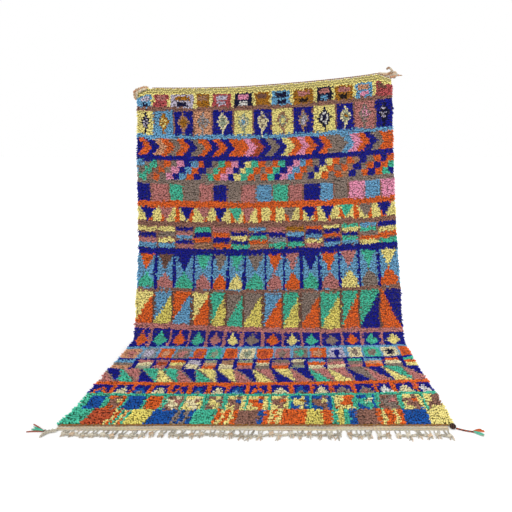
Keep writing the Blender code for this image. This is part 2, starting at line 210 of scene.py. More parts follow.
class Drape:
    """The shape in which the rug hangs and lies, the same as its CAD solid's."""

    def __init__(self) -> None:
        """Makes the curves of the side view and of the outline."""
        back = PROFILE[::-1]
        reaches = np.array([s.reach for s in back])
        heights = np.array([s.height for s in back])
        steps = np.hypot(np.diff(reaches), np.diff(heights))
        lengths = np.concatenate(([0.0], np.cumsum(steps)))
        self.reach = Curve(lengths, reaches)
        self.height = Curve(lengths, heights)
        along = [row.along for row in OUTLINE]
        self.width = Curve(along, [row.width for row in OUTLINE])
        self.drift = Curve(along, [row.drift for row in OUTLINE])
        self.tilt = Curve(along, [row.tilt for row in OUTLINE])
        self.sag = Curve(along, [row.sag for row in OUTLINE])

    def back(self, across: np.ndarray, along: np.ndarray) -> np.ndarray:
        """Points on the rug's back.

        Args:
            across: Shares of the width, from the left.
            along: Shares of the length, from the top edge.

        Returns:
            One point in the row frame for each pair.
        """
        droop = sum(
            d.depth * fade(abs(across - d.side) * OUTLINE[0].width / (2 * d.reach)) for d in DROOPS
        ) * fade(along * RUG_LENGTH / DROOP_LENGTH)
        lift = self.tilt(along) * (across - 0.5) + self.sag(along) * (2 * across - 1) ** 2
        length = (1 - along) * RUG_LENGTH + lift - droop
        folds = sum(f.depth * np.exp(-(((across - f.across) / f.width) ** 2)) for f in FOLDS)
        reach = self.reach(length) + folds * fade(along / FOLDS_END)
        height = np.maximum(0.0, self.height(length))
        side = lumps(np.stack([across, along * RUG_LENGTH / CLUMP, np.full_like(across, 0.5)], axis=1))
        x = self.drift(along) + (across - 0.5) * (self.width(along) + 2 * EDGE_WANDER * side)
        return np.stack([FRONT_X + x, FRONT_Y + PROFILE[-1].reach - reach, height], axis=1)

    def frames(self, across: np.ndarray, along: np.ndarray) -> tuple[np.ndarray, ...]:
        """Places on the back with the directions there.

        Args:
            across: Shares of the width.
            along: Shares of the length.

        Returns:
            The points, then the unit vectors to the right, towards the front end and out of the pile.
        """
        points = self.back(across, along)
        step = 0.004
        right = unit(self.back(across + step, along) - self.back(across - step, along))
        ahead = unit(self.back(across, along + step) - self.back(across, along - step))
        out = unit(np.cross(right, ahead) * -1)
        flip = np.sign(out[:, 2] * 0.5 - out[:, 1])[:, None]
        return points, right, ahead, out * np.where(flip == 0, 1, flip)

    def thickness(self, across: np.ndarray, along: np.ndarray) -> np.ndarray:
        """Ground and pile together at each place, as in the solid."""
        places = np.stack([across * self.width(along), along * RUG_LENGTH, np.zeros_like(across)], axis=1)
        share = 1 - PILE_UNEVEN * (0.5 + 0.5 * lumps(places / CLUMP)) * PILE / (BACKING + PILE)
        return share * (BACKING + PILE)

    def top_line(self, first: int, distance: float) -> np.ndarray:
        """The line along the solid's top edge, that far above it, from one of its grid lines to the last."""
        even = np.arange(first, GRID_COLUMNS + 1) / GRID_COLUMNS
        across = even - COLUMNS_CLOSER * np.sin(2 * math.pi * even) / (2 * math.pi)
        edge = self.back(across, np.zeros_like(across)) + np.array([0, -(BACKING + PILE) / 2, 0])
        runs = unit(np.diff(edge, axis=0))
        sides = np.stack([-runs[:, 2], np.zeros(len(runs)), runs[:, 0]], axis=1)
        before = np.concatenate([sides[:1], sides])
        after = np.concatenate([sides, sides[-1:]])
        mitre = unit(before + after)
        reach = distance / np.maximum(0.5, (mitre * after).sum(axis=1))
        return edge + mitre * reach[:, None]

    def upper_corner(self, across: float) -> np.ndarray:
        """The middle of the thickness at the top edge."""
        point = self.back(np.array([across], float), np.zeros(1))[0]
        return point + np.array([0, -(BACKING + PILE) / 2, 0])


class Yarn(Enum):
    """Every yarn in the rug, with its colour."""

    BLUE = (0.010, 0.014, 0.290)
    MID_BLUE = (0.014, 0.110, 0.440)
    NAVY = (0.007, 0.008, 0.050)
    SKY = (0.175, 0.420, 0.640)
    LILAC = (0.600, 0.550, 0.660)
    GREEN = (0.085, 0.560, 0.380)
    SAGE = (0.380, 0.440, 0.320)
    YELLOW = (0.930, 0.820, 0.310)
    LEMON = (0.800, 0.700, 0.180)
    PALE = (0.850, 0.760, 0.480)
    OCHRE = (0.460, 0.200, 0.020)
    ORANGE = (0.800, 0.160, 0.030)
    RUST = (0.560, 0.105, 0.040)
    PEACH = (0.720, 0.380, 0.220)
    TAN = (0.470, 0.260, 0.150)
    SAND = (0.800, 0.590, 0.400)
    TAUPE = (0.310, 0.240, 0.200)
    BROWN = (0.220, 0.105, 0.075)
    ROSE = (0.580, 0.235, 0.215)
    ROSE_RED = (0.500, 0.100, 0.105)
    ROSE_BROWN = (0.350, 0.175, 0.130)
    PINK = (0.860, 0.360, 0.520)
    GREY = (0.350, 0.360, 0.380)
    WHITE = (0.820, 0.800, 0.760)
    CREAM = (0.680, 0.620, 0.500)
    BLACK = (0.020, 0.012, 0.012)


YARNS = list(Yarn)


def yarns(names: str) -> tuple[int, ...]:
    """The numbers of the yarns named in a line of words."""
    return tuple(YARNS.index(Yarn[name.upper()]) for name in names.split())


def stacks(names: str) -> tuple[tuple[int, ...], ...]:
    """The yarns of each panel, from the top down: a word for each panel, a / between its yarns."""
    return tuple(yarns(word.replace("/", " ")) for word in names.split())


def pick(table: Sequence[int], i: np.ndarray) -> np.ndarray:
    """The table's entries at those numbers, going round."""
    return np.array(table)[i.astype(int) % len(table)]


@dataclass(frozen=True)
class Motif:
    """What a band is filled with. This one is a plain colour."""

    ground: str

    def paint(self, u: np.ndarray, v: np.ndarray) -> np.ndarray:
        """The yarn of each knot.

        Args:
            u: Shares of the rug's width, from the left.
            v: Shares of the band's height, from the top.

        Returns:
            The number of a yarn for each knot.
        """
        return pick(yarns(self.ground), np.zeros(len(u)))


@dataclass(frozen=True)
class Panels(Motif):
    """Panels side by side, each with its figure, and a line or gap between them.

    The cells are words, one for each panel, with the yarns of its figure joined by a /. The edges are in
    1500ths of the width, and without edges the panels are equal.
    """

    cells: str
    edges: tuple[int, ...] = ()
    gap: float = 8
    figure: str = "stack"

    def limits(self) -> np.ndarray:
        """Where each panel starts, and where the last one ends."""
        count = len(self.cells.split())
        inner = self.edges or tuple(WIDTH_PARTS * k / count for k in range(1, count))
        return np.array((0, *inner, WIDTH_PARTS), float)

    def paint(self, u: np.ndarray, v: np.ndarray) -> np.ndarray:
        """The yarn of each knot: see Motif."""
        table = stacks(self.cells)
        limits = self.limits()
        x = np.clip(u, 0, 0.9999) * WIDTH_PARTS
        panel = np.clip(np.searchsorted(limits, x, side="right") - 1, 0, len(limits) - 2)
        left = limits[panel]
        span = limits[panel + 1] - left
        f = (x - left) / span
        longest = max(len(cell) for cell in table)
        colours = np.array([[cell[min(len(cell) - 1, j)] for j in range(longest)] for cell in table])
        sizes = np.array([len(cell) for cell in table])
        which = FIGURES[self.figure](f, v, sizes[panel % len(table)])
        made = colours[panel % len(table), np.clip(which, 0, longest - 1).astype(int)]
        before = np.where(panel > 0, x - left, span)
        after = np.where(panel < len(limits) - 2, left + span - x, span)
        edge = np.minimum(before, after) < self.gap / 2
        bare = (which < 0) | edge
        return np.where(bare, yarns(self.ground)[0], made)


def stack(x: np.ndarray, v: np.ndarray, size: np.ndarray) -> np.ndarray:
    """Equal bars from the top down."""
    return np.floor(v * size)


def bars(x: np.ndarray, v: np.ndarray, size: np.ndarray) -> np.ndarray:
    """Equal bars with the ground showing between them."""
    place = v * size
    return np.where(np.abs(place % 1 - 0.5) < 0.44, np.floor(place), -1)


def lozenge(x: np.ndarray, v: np.ndarray, size: np.ndarray) -> np.ndarray:
    """A tall lozenge with a thin tail on the first yarn, its rings in the others from the outside in."""
    ring = np.abs(x - 0.5) / 0.30 + np.abs(v - 0.48) / 0.42
    tail = (np.abs(x - 0.5) < 0.05) & (v > 0.72)
    inner = np.where(size > 3, np.where(ring < 0.36, 3, 2), 2)
    return np.where((ring < 0.62) & (size > 2), inner, np.where((ring < 1) | tail, 1, 0))


def diamond(x: np.ndarray, v: np.ndarray, size: np.ndarray) -> np.ndarray:
    """A lozenge that fills most of its panel, on the ground."""
    ring = np.abs(x - 0.5) / 0.34 + np.abs(v - 0.5) / 0.45
    return np.where((ring < 0.28) & (size > 1), 1, np.where(ring < 1, 0, -1))


def hourglass(x: np.ndarray, v: np.ndarray, size: np.ndarray) -> np.ndarray:
    """A triangle pointing down from the top, and one pointing up on a square foot."""
    side = np.abs(x - 0.5)
    top = side < 0.41 * (1 - v / 0.50)
    low = side < 0.40 * np.minimum(1, (v - 0.51) / 0.30)
    return np.where(top & (v < 0.5), 0, np.where(low & (v > 0.51) & (v < 0.98), 1, -1))


def split(x: np.ndarray, v: np.ndarray, size: np.ndarray) -> np.ndarray:
    """A rising diagonal, with the first yarn above it and to the left, or with three words a falling one."""
    return np.where(size > 2, np.where(x < 0.15 + 0.8 * v, 0, 1), np.where(x + v < 1, 0, 1))


def arch(x: np.ndarray, v: np.ndarray, size: np.ndarray) -> np.ndarray:
    """A pointed arch on the ground: with one yarn a filled one, with two a ring round the second."""
    side = np.abs(x - 0.5)
    ring = side / 0.36 + (1 - v) / 0.90
    return np.where(ring > 1, -1, np.where((ring < 0.52) & (size > 1), 1, 0))


def stripes(x: np.ndarray, v: np.ndarray, size: np.ndarray) -> np.ndarray:
    """Upright stripes of the panel's yarns from side to side, wavering a little."""
    count = np.where(size == 2, 5, np.where(size == 3, 6, size))
    return np.floor(np.clip(x + 0.03 * np.sin(v * 9), 0, 0.999) * count) % size


def flecks(x: np.ndarray, v: np.ndarray, size: np.ndarray) -> np.ndarray:
    """The first yarn with patches of the others in it."""
    patch = (np.sin(np.floor(x * 4) * 12.9 + np.floor(v * 4) * 78.2 + size * 3.7) * 437.5) % 1
    return np.where((patch < 0.45) & (size > 1), 1 + np.floor(patch * 9) % np.maximum(size - 1, 1), 0)


def upright(x: np.ndarray, v: np.ndarray, size: np.ndarray) -> np.ndarray:
    """A tall panel with soft corners, its second yarn in an uneven oval down the middle."""
    middle = ((x - 0.5) / 0.27) ** 2 + ((v - 0.52) / 0.40) ** 2 + 0.30 * np.sin(x * 31 + v * 9)
    corner = (2 * x - 1) ** 6 + (2 * v - 1) ** 6
    return np.where(corner > 1, -1, np.where(middle < 0.75, 1 % size, 0))


def mark(x: np.ndarray, v: np.ndarray, size: np.ndarray) -> np.ndarray:
    """A block of the first yarn, with the second as a small bar in its upper half, the third at its foot."""
    small = (np.abs(x - 0.5) < 0.26) & (v > 0.12) & (v < 0.46) & (size > 1)
    foot = (np.abs(x - 0.5) < 0.20) & (v > 0.62) & (v < 0.90) & (size > 2)
    return np.where(small, 1, np.where(foot, 2, 0))


FIGURES: dict[str, Callable[..., np.ndarray]] = {
    f.__name__: f
    for f in (stack, bars, lozenge, diamond, hourglass, split, arch, stripes, flecks, upright, mark)
}


@dataclass(frozen=True)
class Chevrons(Motif):
    """Arrow heads side by side that point to the right, a word for each."""

    point: float = 0.026

    def paint(self, u: np.ndarray, v: np.ndarray) -> np.ndarray:
        """The yarn of each knot: see Motif."""
        table = yarns(self.ground)
        place = (u - self.point * (1 - np.abs(2 * v - 1)) + self.point) * len(table) / (1 + self.point)
        return pick(table, np.floor(place))


@dataclass(frozen=True)
class Checks(Motif):
    """Rows of small squares, each row a little further to the left than the one above."""

    rows: int = 3
    columns: int = 38
    slip: float = 0.85

    def paint(self, u: np.ndarray, v: np.ndarray) -> np.ndarray:
        """The yarn of each knot: see Motif."""
        row = np.floor(v * self.rows)
        return pick(yarns(self.ground), np.floor(u * self.columns + row * self.slip))


@dataclass(frozen=True)
class Teeth(Motif):
    """Triangles that point down, on stripes of the ground's yarns.

    The teeth are words with a place in 1500ths of the width and a yarn.
    """

    teeth: tuple[tuple[int, str], ...] = ()
    half: float = 42
    stripes: int = 28

    def paint(self, u: np.ndarray, v: np.ndarray) -> np.ndarray:
        """The yarn of each knot: see Motif."""
        ground = pick(yarns(self.ground), np.floor(u * self.stripes * 2))
        for place, name in self.teeth:
            inside = np.abs(u * WIDTH_PARTS - place) < self.half * (1 - v)
            ground = np.where(inside, yarns(name)[0], ground)
        return ground


@dataclass(frozen=True)
class Slants(Motif):
    """Slanted triangles side by side, with thin lines of one yarn between them."""

    line: str = "taupe"
    lean: float = 0.022

    def paint(self, u: np.ndarray, v: np.ndarray) -> np.ndarray:
        """The yarn of each knot: see Motif."""
        table = yarns(self.ground)
        pairs = len(table) / 2
        place = (u - self.lean * (v - 1)) * pairs / (1 + self.lean)
        inside = place % 1
        number = np.floor(place) * 2 + (inside > 0.12 + 0.76 * v)
        near = (np.abs(inside - 0.12 - 0.76 * v) < 0.05) | (inside < 0.05)
        return np.where(near, yarns(self.line)[0], pick(table, number))


@dataclass(frozen=True)
class Band:
    """One band of the design, from one height to the next, in widths of the rug from the top edge."""

    start: float
    motif: Motif


BANDS = (
    Band(0.0, Motif("yellow")),
    Band(0.020, Panels(
        "yellow",
        "sky/lilac/navy rose_red/rose lilac/ochre/navy ochre/tan rose_red/lilac/lilac navy/pink/white"
        " ochre/brown sky/navy/navy ochre/rose/black navy/rose/sky ochre/rose/black sky/peach/pink"
        " rose_red/brown",
        (90, 195, 338, 433, 562, 683, 788, 913, 1045, 1155, 1275, 1395), 18, "mark")),
    Band(0.073, Motif("rose_brown")),
    Band(0.088, Panels(
        "rose_brown",
        "yellow/navy/lilac/navy sky/ochre/yellow/ochre blue/tan/ochre peach/grey/tan/grey blue/pale/sage"
        " yellow/sage/pale/sky blue/pale/taupe/pale yellow/tan/sage/yellow blue/tan/grey/lilac"
        " yellow/navy/white/navy blue/pale/sage/ochre rose/taupe/pink/taupe blue/navy/lilac/navy",
        (95, 215, 330, 440, 565, 685, 790, 915, 1035, 1170, 1275, 1395), 8, "lozenge")),
    Band(0.190, Motif("sky")),
    Band(0.208, Chevrons(
        "blue orange blue peach orange taupe orange blue taupe orange blue orange blue orange orange pink"
        " rust blue taupe blue yellow orange pink orange blue orange taupe taupe sky pink orange blue taupe"
        " orange orange")),
    Band(0.277, Motif("blue")),
    Band(0.298, Checks(
        "sky taupe green rose_brown orange taupe pink blue sky orange blue taupe green orange pink blue"
        " yellow green orange taupe orange green blue pink sky orange taupe blue yellow orange taupe orange"
        " tan blue taupe orange blue orange green blue")),
    Band(0.375, Motif("taupe")),
    Band(0.393, Panels(
        "rose_brown",
        "blue rose green taupe rose blue taupe rose sky green rose blue sky taupe pink sky pink",
        (78, 185, 270, 360, 440, 525, 605, 690, 790, 885, 970, 1065, 1145, 1230, 1330, 1420), 6)),
    Band(0.460, Motif("orange")),
    Band(0.484, Teeth(
        "yellow yellow orange",
        ((60, "blue"), (165, "rose"), (280, "blue"), (385, "rose"), (480, "blue"), (575, "green"),
         (640, "rose"), (885, "taupe"), (1000, "blue"), (1105, "blue"), (1215, "green"), (1330, "taupe"),
         (1440, "blue")))),
    Band(0.537, Motif("rose_brown")),
    Band(0.557, Panels(
        "rose_brown",
        "yellow/blue/rose/sky yellow/taupe/yellow/sky blue/rose/sky/blue/rose green/blue/orange/tan"
        " rose/orange/blue/orange rose/blue/yellow/blue/green sky/blue/green/orange/tan rose/blue/grey/green"
        " ochre/sky/blue/green orange/blue/sky/yellow/rose yellow/blue/orange/blue/sky"
        " green/yellow/blue/green/sky sky/green/taupe/orange/yellow blue/yellow/orange/green",
        (), 10, "bars")),
    Band(0.637, Motif("blue")),
    Band(0.660, Panels(
        "sky",
        "orange/green brown/rose blue/green green/rose taupe/orange green/yellow taupe/green orange/rose"
        " rose/orange blue/green orange/rose rose/yellow green/taupe yellow/orange",
        (105, 210, 325, 430, 520, 615, 735, 840, 940, 1045, 1160, 1270, 1385), 0, "hourglass")),
    Band(0.787, Motif("rose_brown")),
    Band(0.800, Panels(
        "brown",
        "yellow/orange sky/lemon orange/sky yellow/orange green/lemon taupe/green taupe/lemon sky/orange"
        " green/lemon taupe/orange green/lemon green/orange green/blue orange/blue/blue",
        (105, 210, 315, 420, 510, 610, 720, 830, 930, 1040, 1160, 1265, 1380), 13, "split")),
    Band(0.925, Motif("rose")),
    Band(0.940, Panels(
        "blue",
        "orange green orange green rose yellow taupe orange yellow green taupe orange green yellow",
        (98, 207, 310, 408, 507, 605, 718, 830, 933, 1040, 1155, 1265, 1375), 0, "diamond")),
    Band(1.015, Motif("sky")),
    Band(1.030, Panels(
        "sky",
        "peach/rose grey/lilac orange/peach taupe/rose orange/rose_red green/sage orange/rust pale/sage"
        " orange/rust rose/taupe taupe/green orange/peach lilac/blue pale/taupe green/taupe pale/navy"
        " orange/rust",
        (97, 183, 270, 360, 440, 518, 605, 695, 785, 878, 970, 1065, 1162, 1252, 1348, 1440), 14, "upright")),
    Band(1.110, Motif("blue")),
    Band(1.125, Panels(
        "blue",
        "sky/taupe/peach rose/pale/sage rose/rust/rose orange/yellow/tan lilac/pale sage/peach/orange"
        " tan/pale sage/orange/rose orange/pale/taupe taupe/rose/orange pale/taupe/sage sky/orange/pale"
        " taupe/rose/pale green/taupe/rose sky/peach/orange orange/pale/taupe green/orange/yellow",
        (102, 195, 270, 357, 437, 520, 602, 695, 777, 872, 952, 1052, 1150, 1240, 1342, 1440), 18, "stack")),
    Band(1.215, Slants(
        "rose blue green rose blue green yellow green rose blue green yellow blue yellow rose blue yellow"
        " rose blue yellow rose blue green rose yellow rose blue taupe rose blue yellow green rose blue")),
    Band(1.310, Motif("orange")),
    Band(1.333, Panels(
        "blue",
        "orange/mid_blue pale mid_blue/taupe pale orange/mid_blue mid_blue/taupe pale mid_blue/sky"
        " orange/mid_blue pale mid_blue/taupe pale taupe taupe/rose white pale white",
        (95, 185, 265, 345, 430, 515, 595, 685, 780, 875, 965, 1050, 1150, 1250, 1330, 1430), 0, "arch")),
    Band(1.385, Motif("green")),
    Band(1.400, Panels(
        "green",
        "green mid_blue orange/yellow/rose_brown mid_blue orange rose_brown/rose/pale yellow/rose_brown/pale"
        " rose_brown/taupe/yellow yellow/mid_blue/rose_brown yellow/mid_blue/orange yellow/orange/rose_brown"
        " mid_blue/ochre/yellow mid_blue/yellow/rose_brown orange/yellow mid_blue/pale/green"
        " rose_brown/rose/taupe yellow/orange/rose_brown rose_brown/yellow",
        (24, 102, 185, 270, 350, 428, 515, 600, 690, 785, 872, 955, 1050, 1142, 1235, 1332, 1430), 16,
        "flecks")),
    Band(1.480, Panels(
        "rust",
        "green rust yellow/orange/green lemon mid_blue mid_blue/taupe green orange/yellow rose_brown"
        " mid_blue orange/yellow orange lemon orange green/lemon/green/mid_blue rose_brown"
        " orange/yellow/orange mid_blue yellow",
        (85, 175, 245, 325, 405, 495, 580, 665, 755, 775, 860, 940, 1000, 1040, 1135, 1220, 1320, 1420), 0,
        "stripes")),
)


@dataclass(frozen=True)
class EdgeLines:
    """Lines of one yarn on the edges of a band's panels, with the band's start and the lines' width."""

    band: float
    yarn: str
    width: float


EDGE_LINES = (EdgeLines(0.660, "blue", 15), EdgeLines(0.940, "rose", 16), EdgeLines(1.333, "orange", 20))


@dataclass(frozen=True)
class Slip:
    """How much lower than its own height the design lies at one place, and how much more so at the left."""

    at: float
    down: float
    left: float


SLIPS = tuple(
    Slip(*row)
    for row in (
        (0.0, 0.0, 0.0), (0.60, 0.002, 0.0), (0.80, 0.012, 0.0), (0.938, 0.013, 0.0), (0.958, 0.018, 0.0),
        (1.049, 0.033, 0.018), (1.149, 0.038, 0.018), (1.228, 0.014, 0.010), (1.323, 0.013, 0.0),
        (1.392, 0.007, 0.0), (1.480, 0.0, 0.0), (1.56, 0.0, 0.0),
    )
)


class Design:
    """The rug's bands of ornament, knot by knot."""

    WANDER = 0.0040
    DRIFT = 0.0030
    MISCOUNT = 0.0009

    def __init__(self, seed: int) -> None:
        """Starts the uneven hand that ties the knots."""
        self.rng = np.random.default_rng(seed)
        self.down = Curve([slip.at for slip in SLIPS], [slip.down for slip in SLIPS])
        self.left = Curve([slip.at for slip in SLIPS], [slip.left for slip in SLIPS])

    def knots(self, across: np.ndarray, along: np.ndarray) -> np.ndarray:
        """The yarn of each knot.

        Args:
            across: Shares of the width.
            along: Shares of the length.

        Returns:
            The number of a yarn for each knot.
        """
        s = along * DESIGN_LENGTH
        s = s - self.down(s) - self.left(s) * (1 - across) ** 2
        wander = lumps(np.stack([across * 9, s * 2.5, np.full_like(s, 7.3)], axis=1))
        drift = lumps(np.stack([across * 6, s * 7, np.full_like(s, 2.1)], axis=1))
        s = s + self.WANDER * wander + self.rng.normal(0, self.MISCOUNT, len(s))
        u = across + self.DRIFT * drift + self.rng.normal(0, self.MISCOUNT, len(s))
        starts = np.array([band.start for band in BANDS])
        ends = np.append(starts[1:], DESIGN_END)
        number = np.clip(np.searchsorted(starts, s, side="right") - 1, 0, len(BANDS) - 1)
        made = np.zeros(len(s), int)
        for k, band in enumerate(BANDS):
            here = number == k
            v = np.clip((s[here] - starts[k]) / (ends[k] - starts[k]), 0, 0.9999)
            made[here] = band.motif.paint(u[here], v)
            for lines in EDGE_LINES:
                if lines.band == band.start:
                    edges = band.motif.limits()[1:-1]
                    away = np.abs(u[here][:, None] * WIDTH_PARTS - edges[None, :]).min(axis=1)
                    made[here] = np.where(away < lines.width / 2, yarns(lines.yarn)[0], made[here])
        return made


def shader_group(name: str, inputs: Sequence[str], outputs: Sequence[str]) -> bpy.types.NodeTree:
    """An empty shader node group.

    Args:
        name: The group's name.
        inputs: Names of its inputs; one named Vector is a vector.
        outputs: Names of its outputs.

    Returns:
        The group, with its input and output nodes in it.
    """
    group = bpy.data.node_groups.new(name, "ShaderNodeTree")
    for word in inputs:
        kind = "NodeSocketVector" if word == "Vector" else "NodeSocketFloat"
        group.interface.new_socket(word, in_out="INPUT", socket_type=kind)
    for word in outputs:
        group.interface.new_socket(word, in_out="OUTPUT", socket_type="NodeSocketFloat")
    group.nodes.new("NodeGroupInput").name = "In"
    group.nodes.new("NodeGroupOutput").name = "Out"
    return group


def put(
    tree: bpy.types.NodeTree,
    kind: str,
    wires: dict[str | int, bpy.types.NodeSocket],
    values: dict[str | int, float] | None = None,
    **settings: str | bpy.types.NodeTree,
) -> bpy.types.Node:
    """Adds a shader node to a tree.

    Args:
        tree: The tree.
        kind: The node's kind, without the word ShaderNode.
        wires: The output that each input is linked to.
        values: What the other inputs are set to.
        settings: The node's own settings, made before all else.

    Returns:
        The node.
    """
    node = tree.nodes.new("ShaderNode" + kind)
    for name, setting in settings.items():
        setattr(node, name, setting)
    for name, value in (values or {}).items():
        node.inputs[name].default_value = value
    for name, output in wires.items():
        tree.links.new(output, node.inputs[name])
    return node


def fibre_group() -> bpy.types.NodeTree:
    """Wool fibres that run along a yarn: streaks of shade and their relief, from the yarn's own map."""
    group = shader_group("Wool fibre", ("Vector", "Across", "Along"), ("Shade", "Relief"))
    given, made = group.nodes["In"].outputs, group.nodes["Out"].inputs
    scale = put(group, "CombineXYZ", {0: given["Across"], 1: given["Along"]})
    mapped = put(group, "VectorMath", {0: given["Vector"], 1: scale.outputs[0]}, operation="MULTIPLY")
    noisy = {"Scale": 1.0, "Detail": 3.0, "Roughness": 0.6}
    streaks = put(group, "TexNoise", {"Vector": mapped.outputs[0]}, noisy)
    spread = {"From Min": 0.30, "From Max": 0.70, "To Min": 0.72, "To Max": 1.20}
    shade = put(group, "MapRange", {"Value": streaks.outputs[0]}, spread)
    group.links.new(shade.outputs[0], made["Shade"])
    group.links.new(streaks.outputs[0], made["Relief"])
    return group


def root_shade_group() -> bpy.types.NodeTree:
    """Painted shade from a lock's root, 0, to its tip, 1: how much darker and richer in hue its colour is."""
    group = shader_group("Painted root shade", ("Length", "Root"), ("Shade", "Shade deepening"))
    given, made = group.nodes["In"].outputs, group.nodes["Out"].inputs
    wires = {"Value": given["Length"], "To Min": given["Root"]}
    spread = {"From Min": 0.05, "From Max": 0.80, "To Max": 1.0}
    shade = put(group, "MapRange", wires, spread, interpolation_type="SMOOTHSTEP")
    deep = put(group, "Math", {1: shade.outputs[0]}, {0: 1.0}, operation="SUBTRACT")
    group.links.new(shade.outputs[0], made["Shade"])
    group.links.new(deep.outputs[0], made["Shade deepening"])
    return group


@dataclass(frozen=True)
class Finish:
    """A wool finish: what one of the record's slots looks like.

    Its colours are the yarns', from the colour attribute Yarn.
    """

    name: str
    slot: str
    # How much of its colour a lock keeps at the root under the painted shade; one paints none.
    root: float = 1.0
    across: float = 900.0
    along: float = 5.0
    relief: float = 0.35
    relief_depth: float = 0.0006
    sheen: float = 0.06
    roughness: float = 0.92

    def material(self) -> bpy.types.Material:
        """The finish's material, made once."""
        made = bpy.data.materials.get(self.name)
        if made:
            return made
        made = bpy.data.materials.new(self.name)
        made.use_nodes = True
        tree = made.node_tree
        shader = tree.nodes["Principled BSDF"]
        shader.inputs["Roughness"].default_value = self.roughness
        shader.inputs["Sheen Weight"].default_value = self.sheen
        shader.inputs["Sheen Roughness"].default_value = 0.45
        shader.inputs["Specular IOR Level"].default_value = 0.06
        place = put(tree, "UVMap", {}, uv_map="OFBake")
        fibre = put(
            tree,
            "Group",
            {"Vector": place.outputs[0]},
            {"Across": self.across, "Along": self.along},
            node_tree=bpy.data.node_groups.get("Wool fibre") or fibre_group(),
        )
        relief = {"Strength": self.relief, "Distance": self.relief_depth}
        bump = put(tree, "Bump", {"Height": fibre.outputs["Relief"]}, relief)
        tree.links.new(self.shaded(tree, fibre), shader.inputs["Base Color"])
        tree.links.new(bump.outputs[0], shader.inputs["Normal"])
        return made

    def shaded(self, tree: bpy.types.NodeTree, fibre: bpy.types.Node) -> bpy.types.NodeSocket:
        """The yarns' colour, streaked by the fibres, with a painted shade towards the root, darker and richer
        in hue.

        Args:
            tree: The material's nodes.
            fibre: The node that gives the fibres' shade.

        Returns:
            The output that carries the colour.
        """
        colour = put(tree, "Attribute", {}, attribute_name="Yarn").outputs["Color"]
        length = put(tree, "Attribute", {}, attribute_name="Length").outputs["Fac"]
        depth = put(
            tree,
            "Group",
            {"Length": length},
            {"Root": self.root},
            node_tree=bpy.data.node_groups.get("Painted root shade") or root_shade_group(),
        )
        wires = {0: fibre.outputs["Shade"], 1: depth.outputs["Shade"]}
        both = put(tree, "Math", wires, operation="MULTIPLY")
        # Painted shade: towards the root the colour is multiplied by itself, for the deeper hue of shadow.
        wires = {"Factor": depth.outputs["Shade deepening"], "A": colour, "B": colour}
        deep = put(tree, "Mix", wires, data_type="RGBA", blend_type="MULTIPLY")
        wires = {0: deep.outputs["Result"], "Scale": both.outputs[0]}
        return put(tree, "VectorMath", wires, operation="SCALE").outputs[0]


# The pile gets a painted shade towards each lock's root, down to 0.26 of its colour.
PILE_WOOL = Finish("Pile wool", "pile_wool", root=0.26, relief=0.5)
GROUND_WOOL = Finish("Ground weave", "backing_weave", across=260, along=400, relief=0.6)
CORD_WOOL = Finish("Twined cord", "twined_cord", across=60, along=14)
WARP_WOOL = Finish("Undyed warp", "undyed_warp", across=60, along=14)
BRAID_WOOL = Finish("Braid wool", "braid_wool", across=60, along=14)
DARK_WOOL = Finish("Dark wool", "dark_wool", across=60, along=14)
TASSEL_WOOL = Finish("Tassel wool", "tassel_wool", across=60, along=14)


def tinted(yarn: np.ndarray, tint: np.ndarray) -> np.ndarray:
    """The colours of yarns, each a little darker or lighter by its tint's number."""
    table = np.array([y.value for y in YARNS])
    shade = 0.70 + 0.60 * tint / (TINTS - 1)
    limit = BRIGHTEST / table[yarn].max(axis=1)
    return table[yarn] * np.minimum(shade, limit)[:, None]


def make_mesh(
    name: str,
    verts: np.ndarray,
    faces: Sequence[np.ndarray],
    colours: np.ndarray,
    lengths: np.ndarray,
    uvs: np.ndarray,
    finish: Finish,
) -> bpy.types.Object:
    """One object from arrays, riding on the root.

    Args:
        name: The piece's name.
        verts: A point in each row.
        faces: Arrays of vertex numbers, one with a row for each triangle and one for each four-sided face.
        colours: A colour for each vertex, or for each corner.
        lengths: The share of its yarn's length for each vertex.
        uvs: A place on the map for each corner, in the order of the faces.
        finish: The piece's finish.

    Returns:
        The object, with its material.
    """
    mesh = bpy.data.meshes.new(name)
    mesh.vertices.add(len(verts))
    mesh.vertices.foreach_set("co", verts.astype(np.float32).ravel())
    corners = np.concatenate([f.ravel() for f in faces])
    sizes = np.concatenate([np.full(len(f), f.shape[1]) for f in faces])
    mesh.loops.add(len(corners))
    mesh.loops.foreach_set("vertex_index", corners.astype(np.int32))
    mesh.polygons.add(len(sizes))
    starts = np.concatenate(([0], np.cumsum(sizes)[:-1]))
    mesh.polygons.foreach_set("loop_start", starts.astype(np.int32))
    mesh.update(calc_edges=True)
    colour = mesh.attributes.new("Yarn", "FLOAT_COLOR", "POINT" if len(colours) == len(verts) else "CORNER")
    colour.data.foreach_set("color", np.c_[colours, np.ones(len(colours))].astype(np.float32).ravel())
    length = mesh.attributes.new("Length", "FLOAT", "POINT")
    length.data.foreach_set("value", lengths.astype(np.float32))
    layer = mesh.uv_layers.new(name="OFBake")
    layer.uv.foreach_set("vector", uvs.astype(np.float32).ravel())
    mesh.polygons.foreach_set("use_smooth", np.ones(len(sizes), bool))
    mesh.materials.append(finish.material())
    piece = bpy.data.objects.new(name, mesh)
    bpy.context.scene.collection.objects.link(piece)
    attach(piece, "root")
    log.info("%s: %d triangles", name, int((sizes - 2).sum()))
    return piece


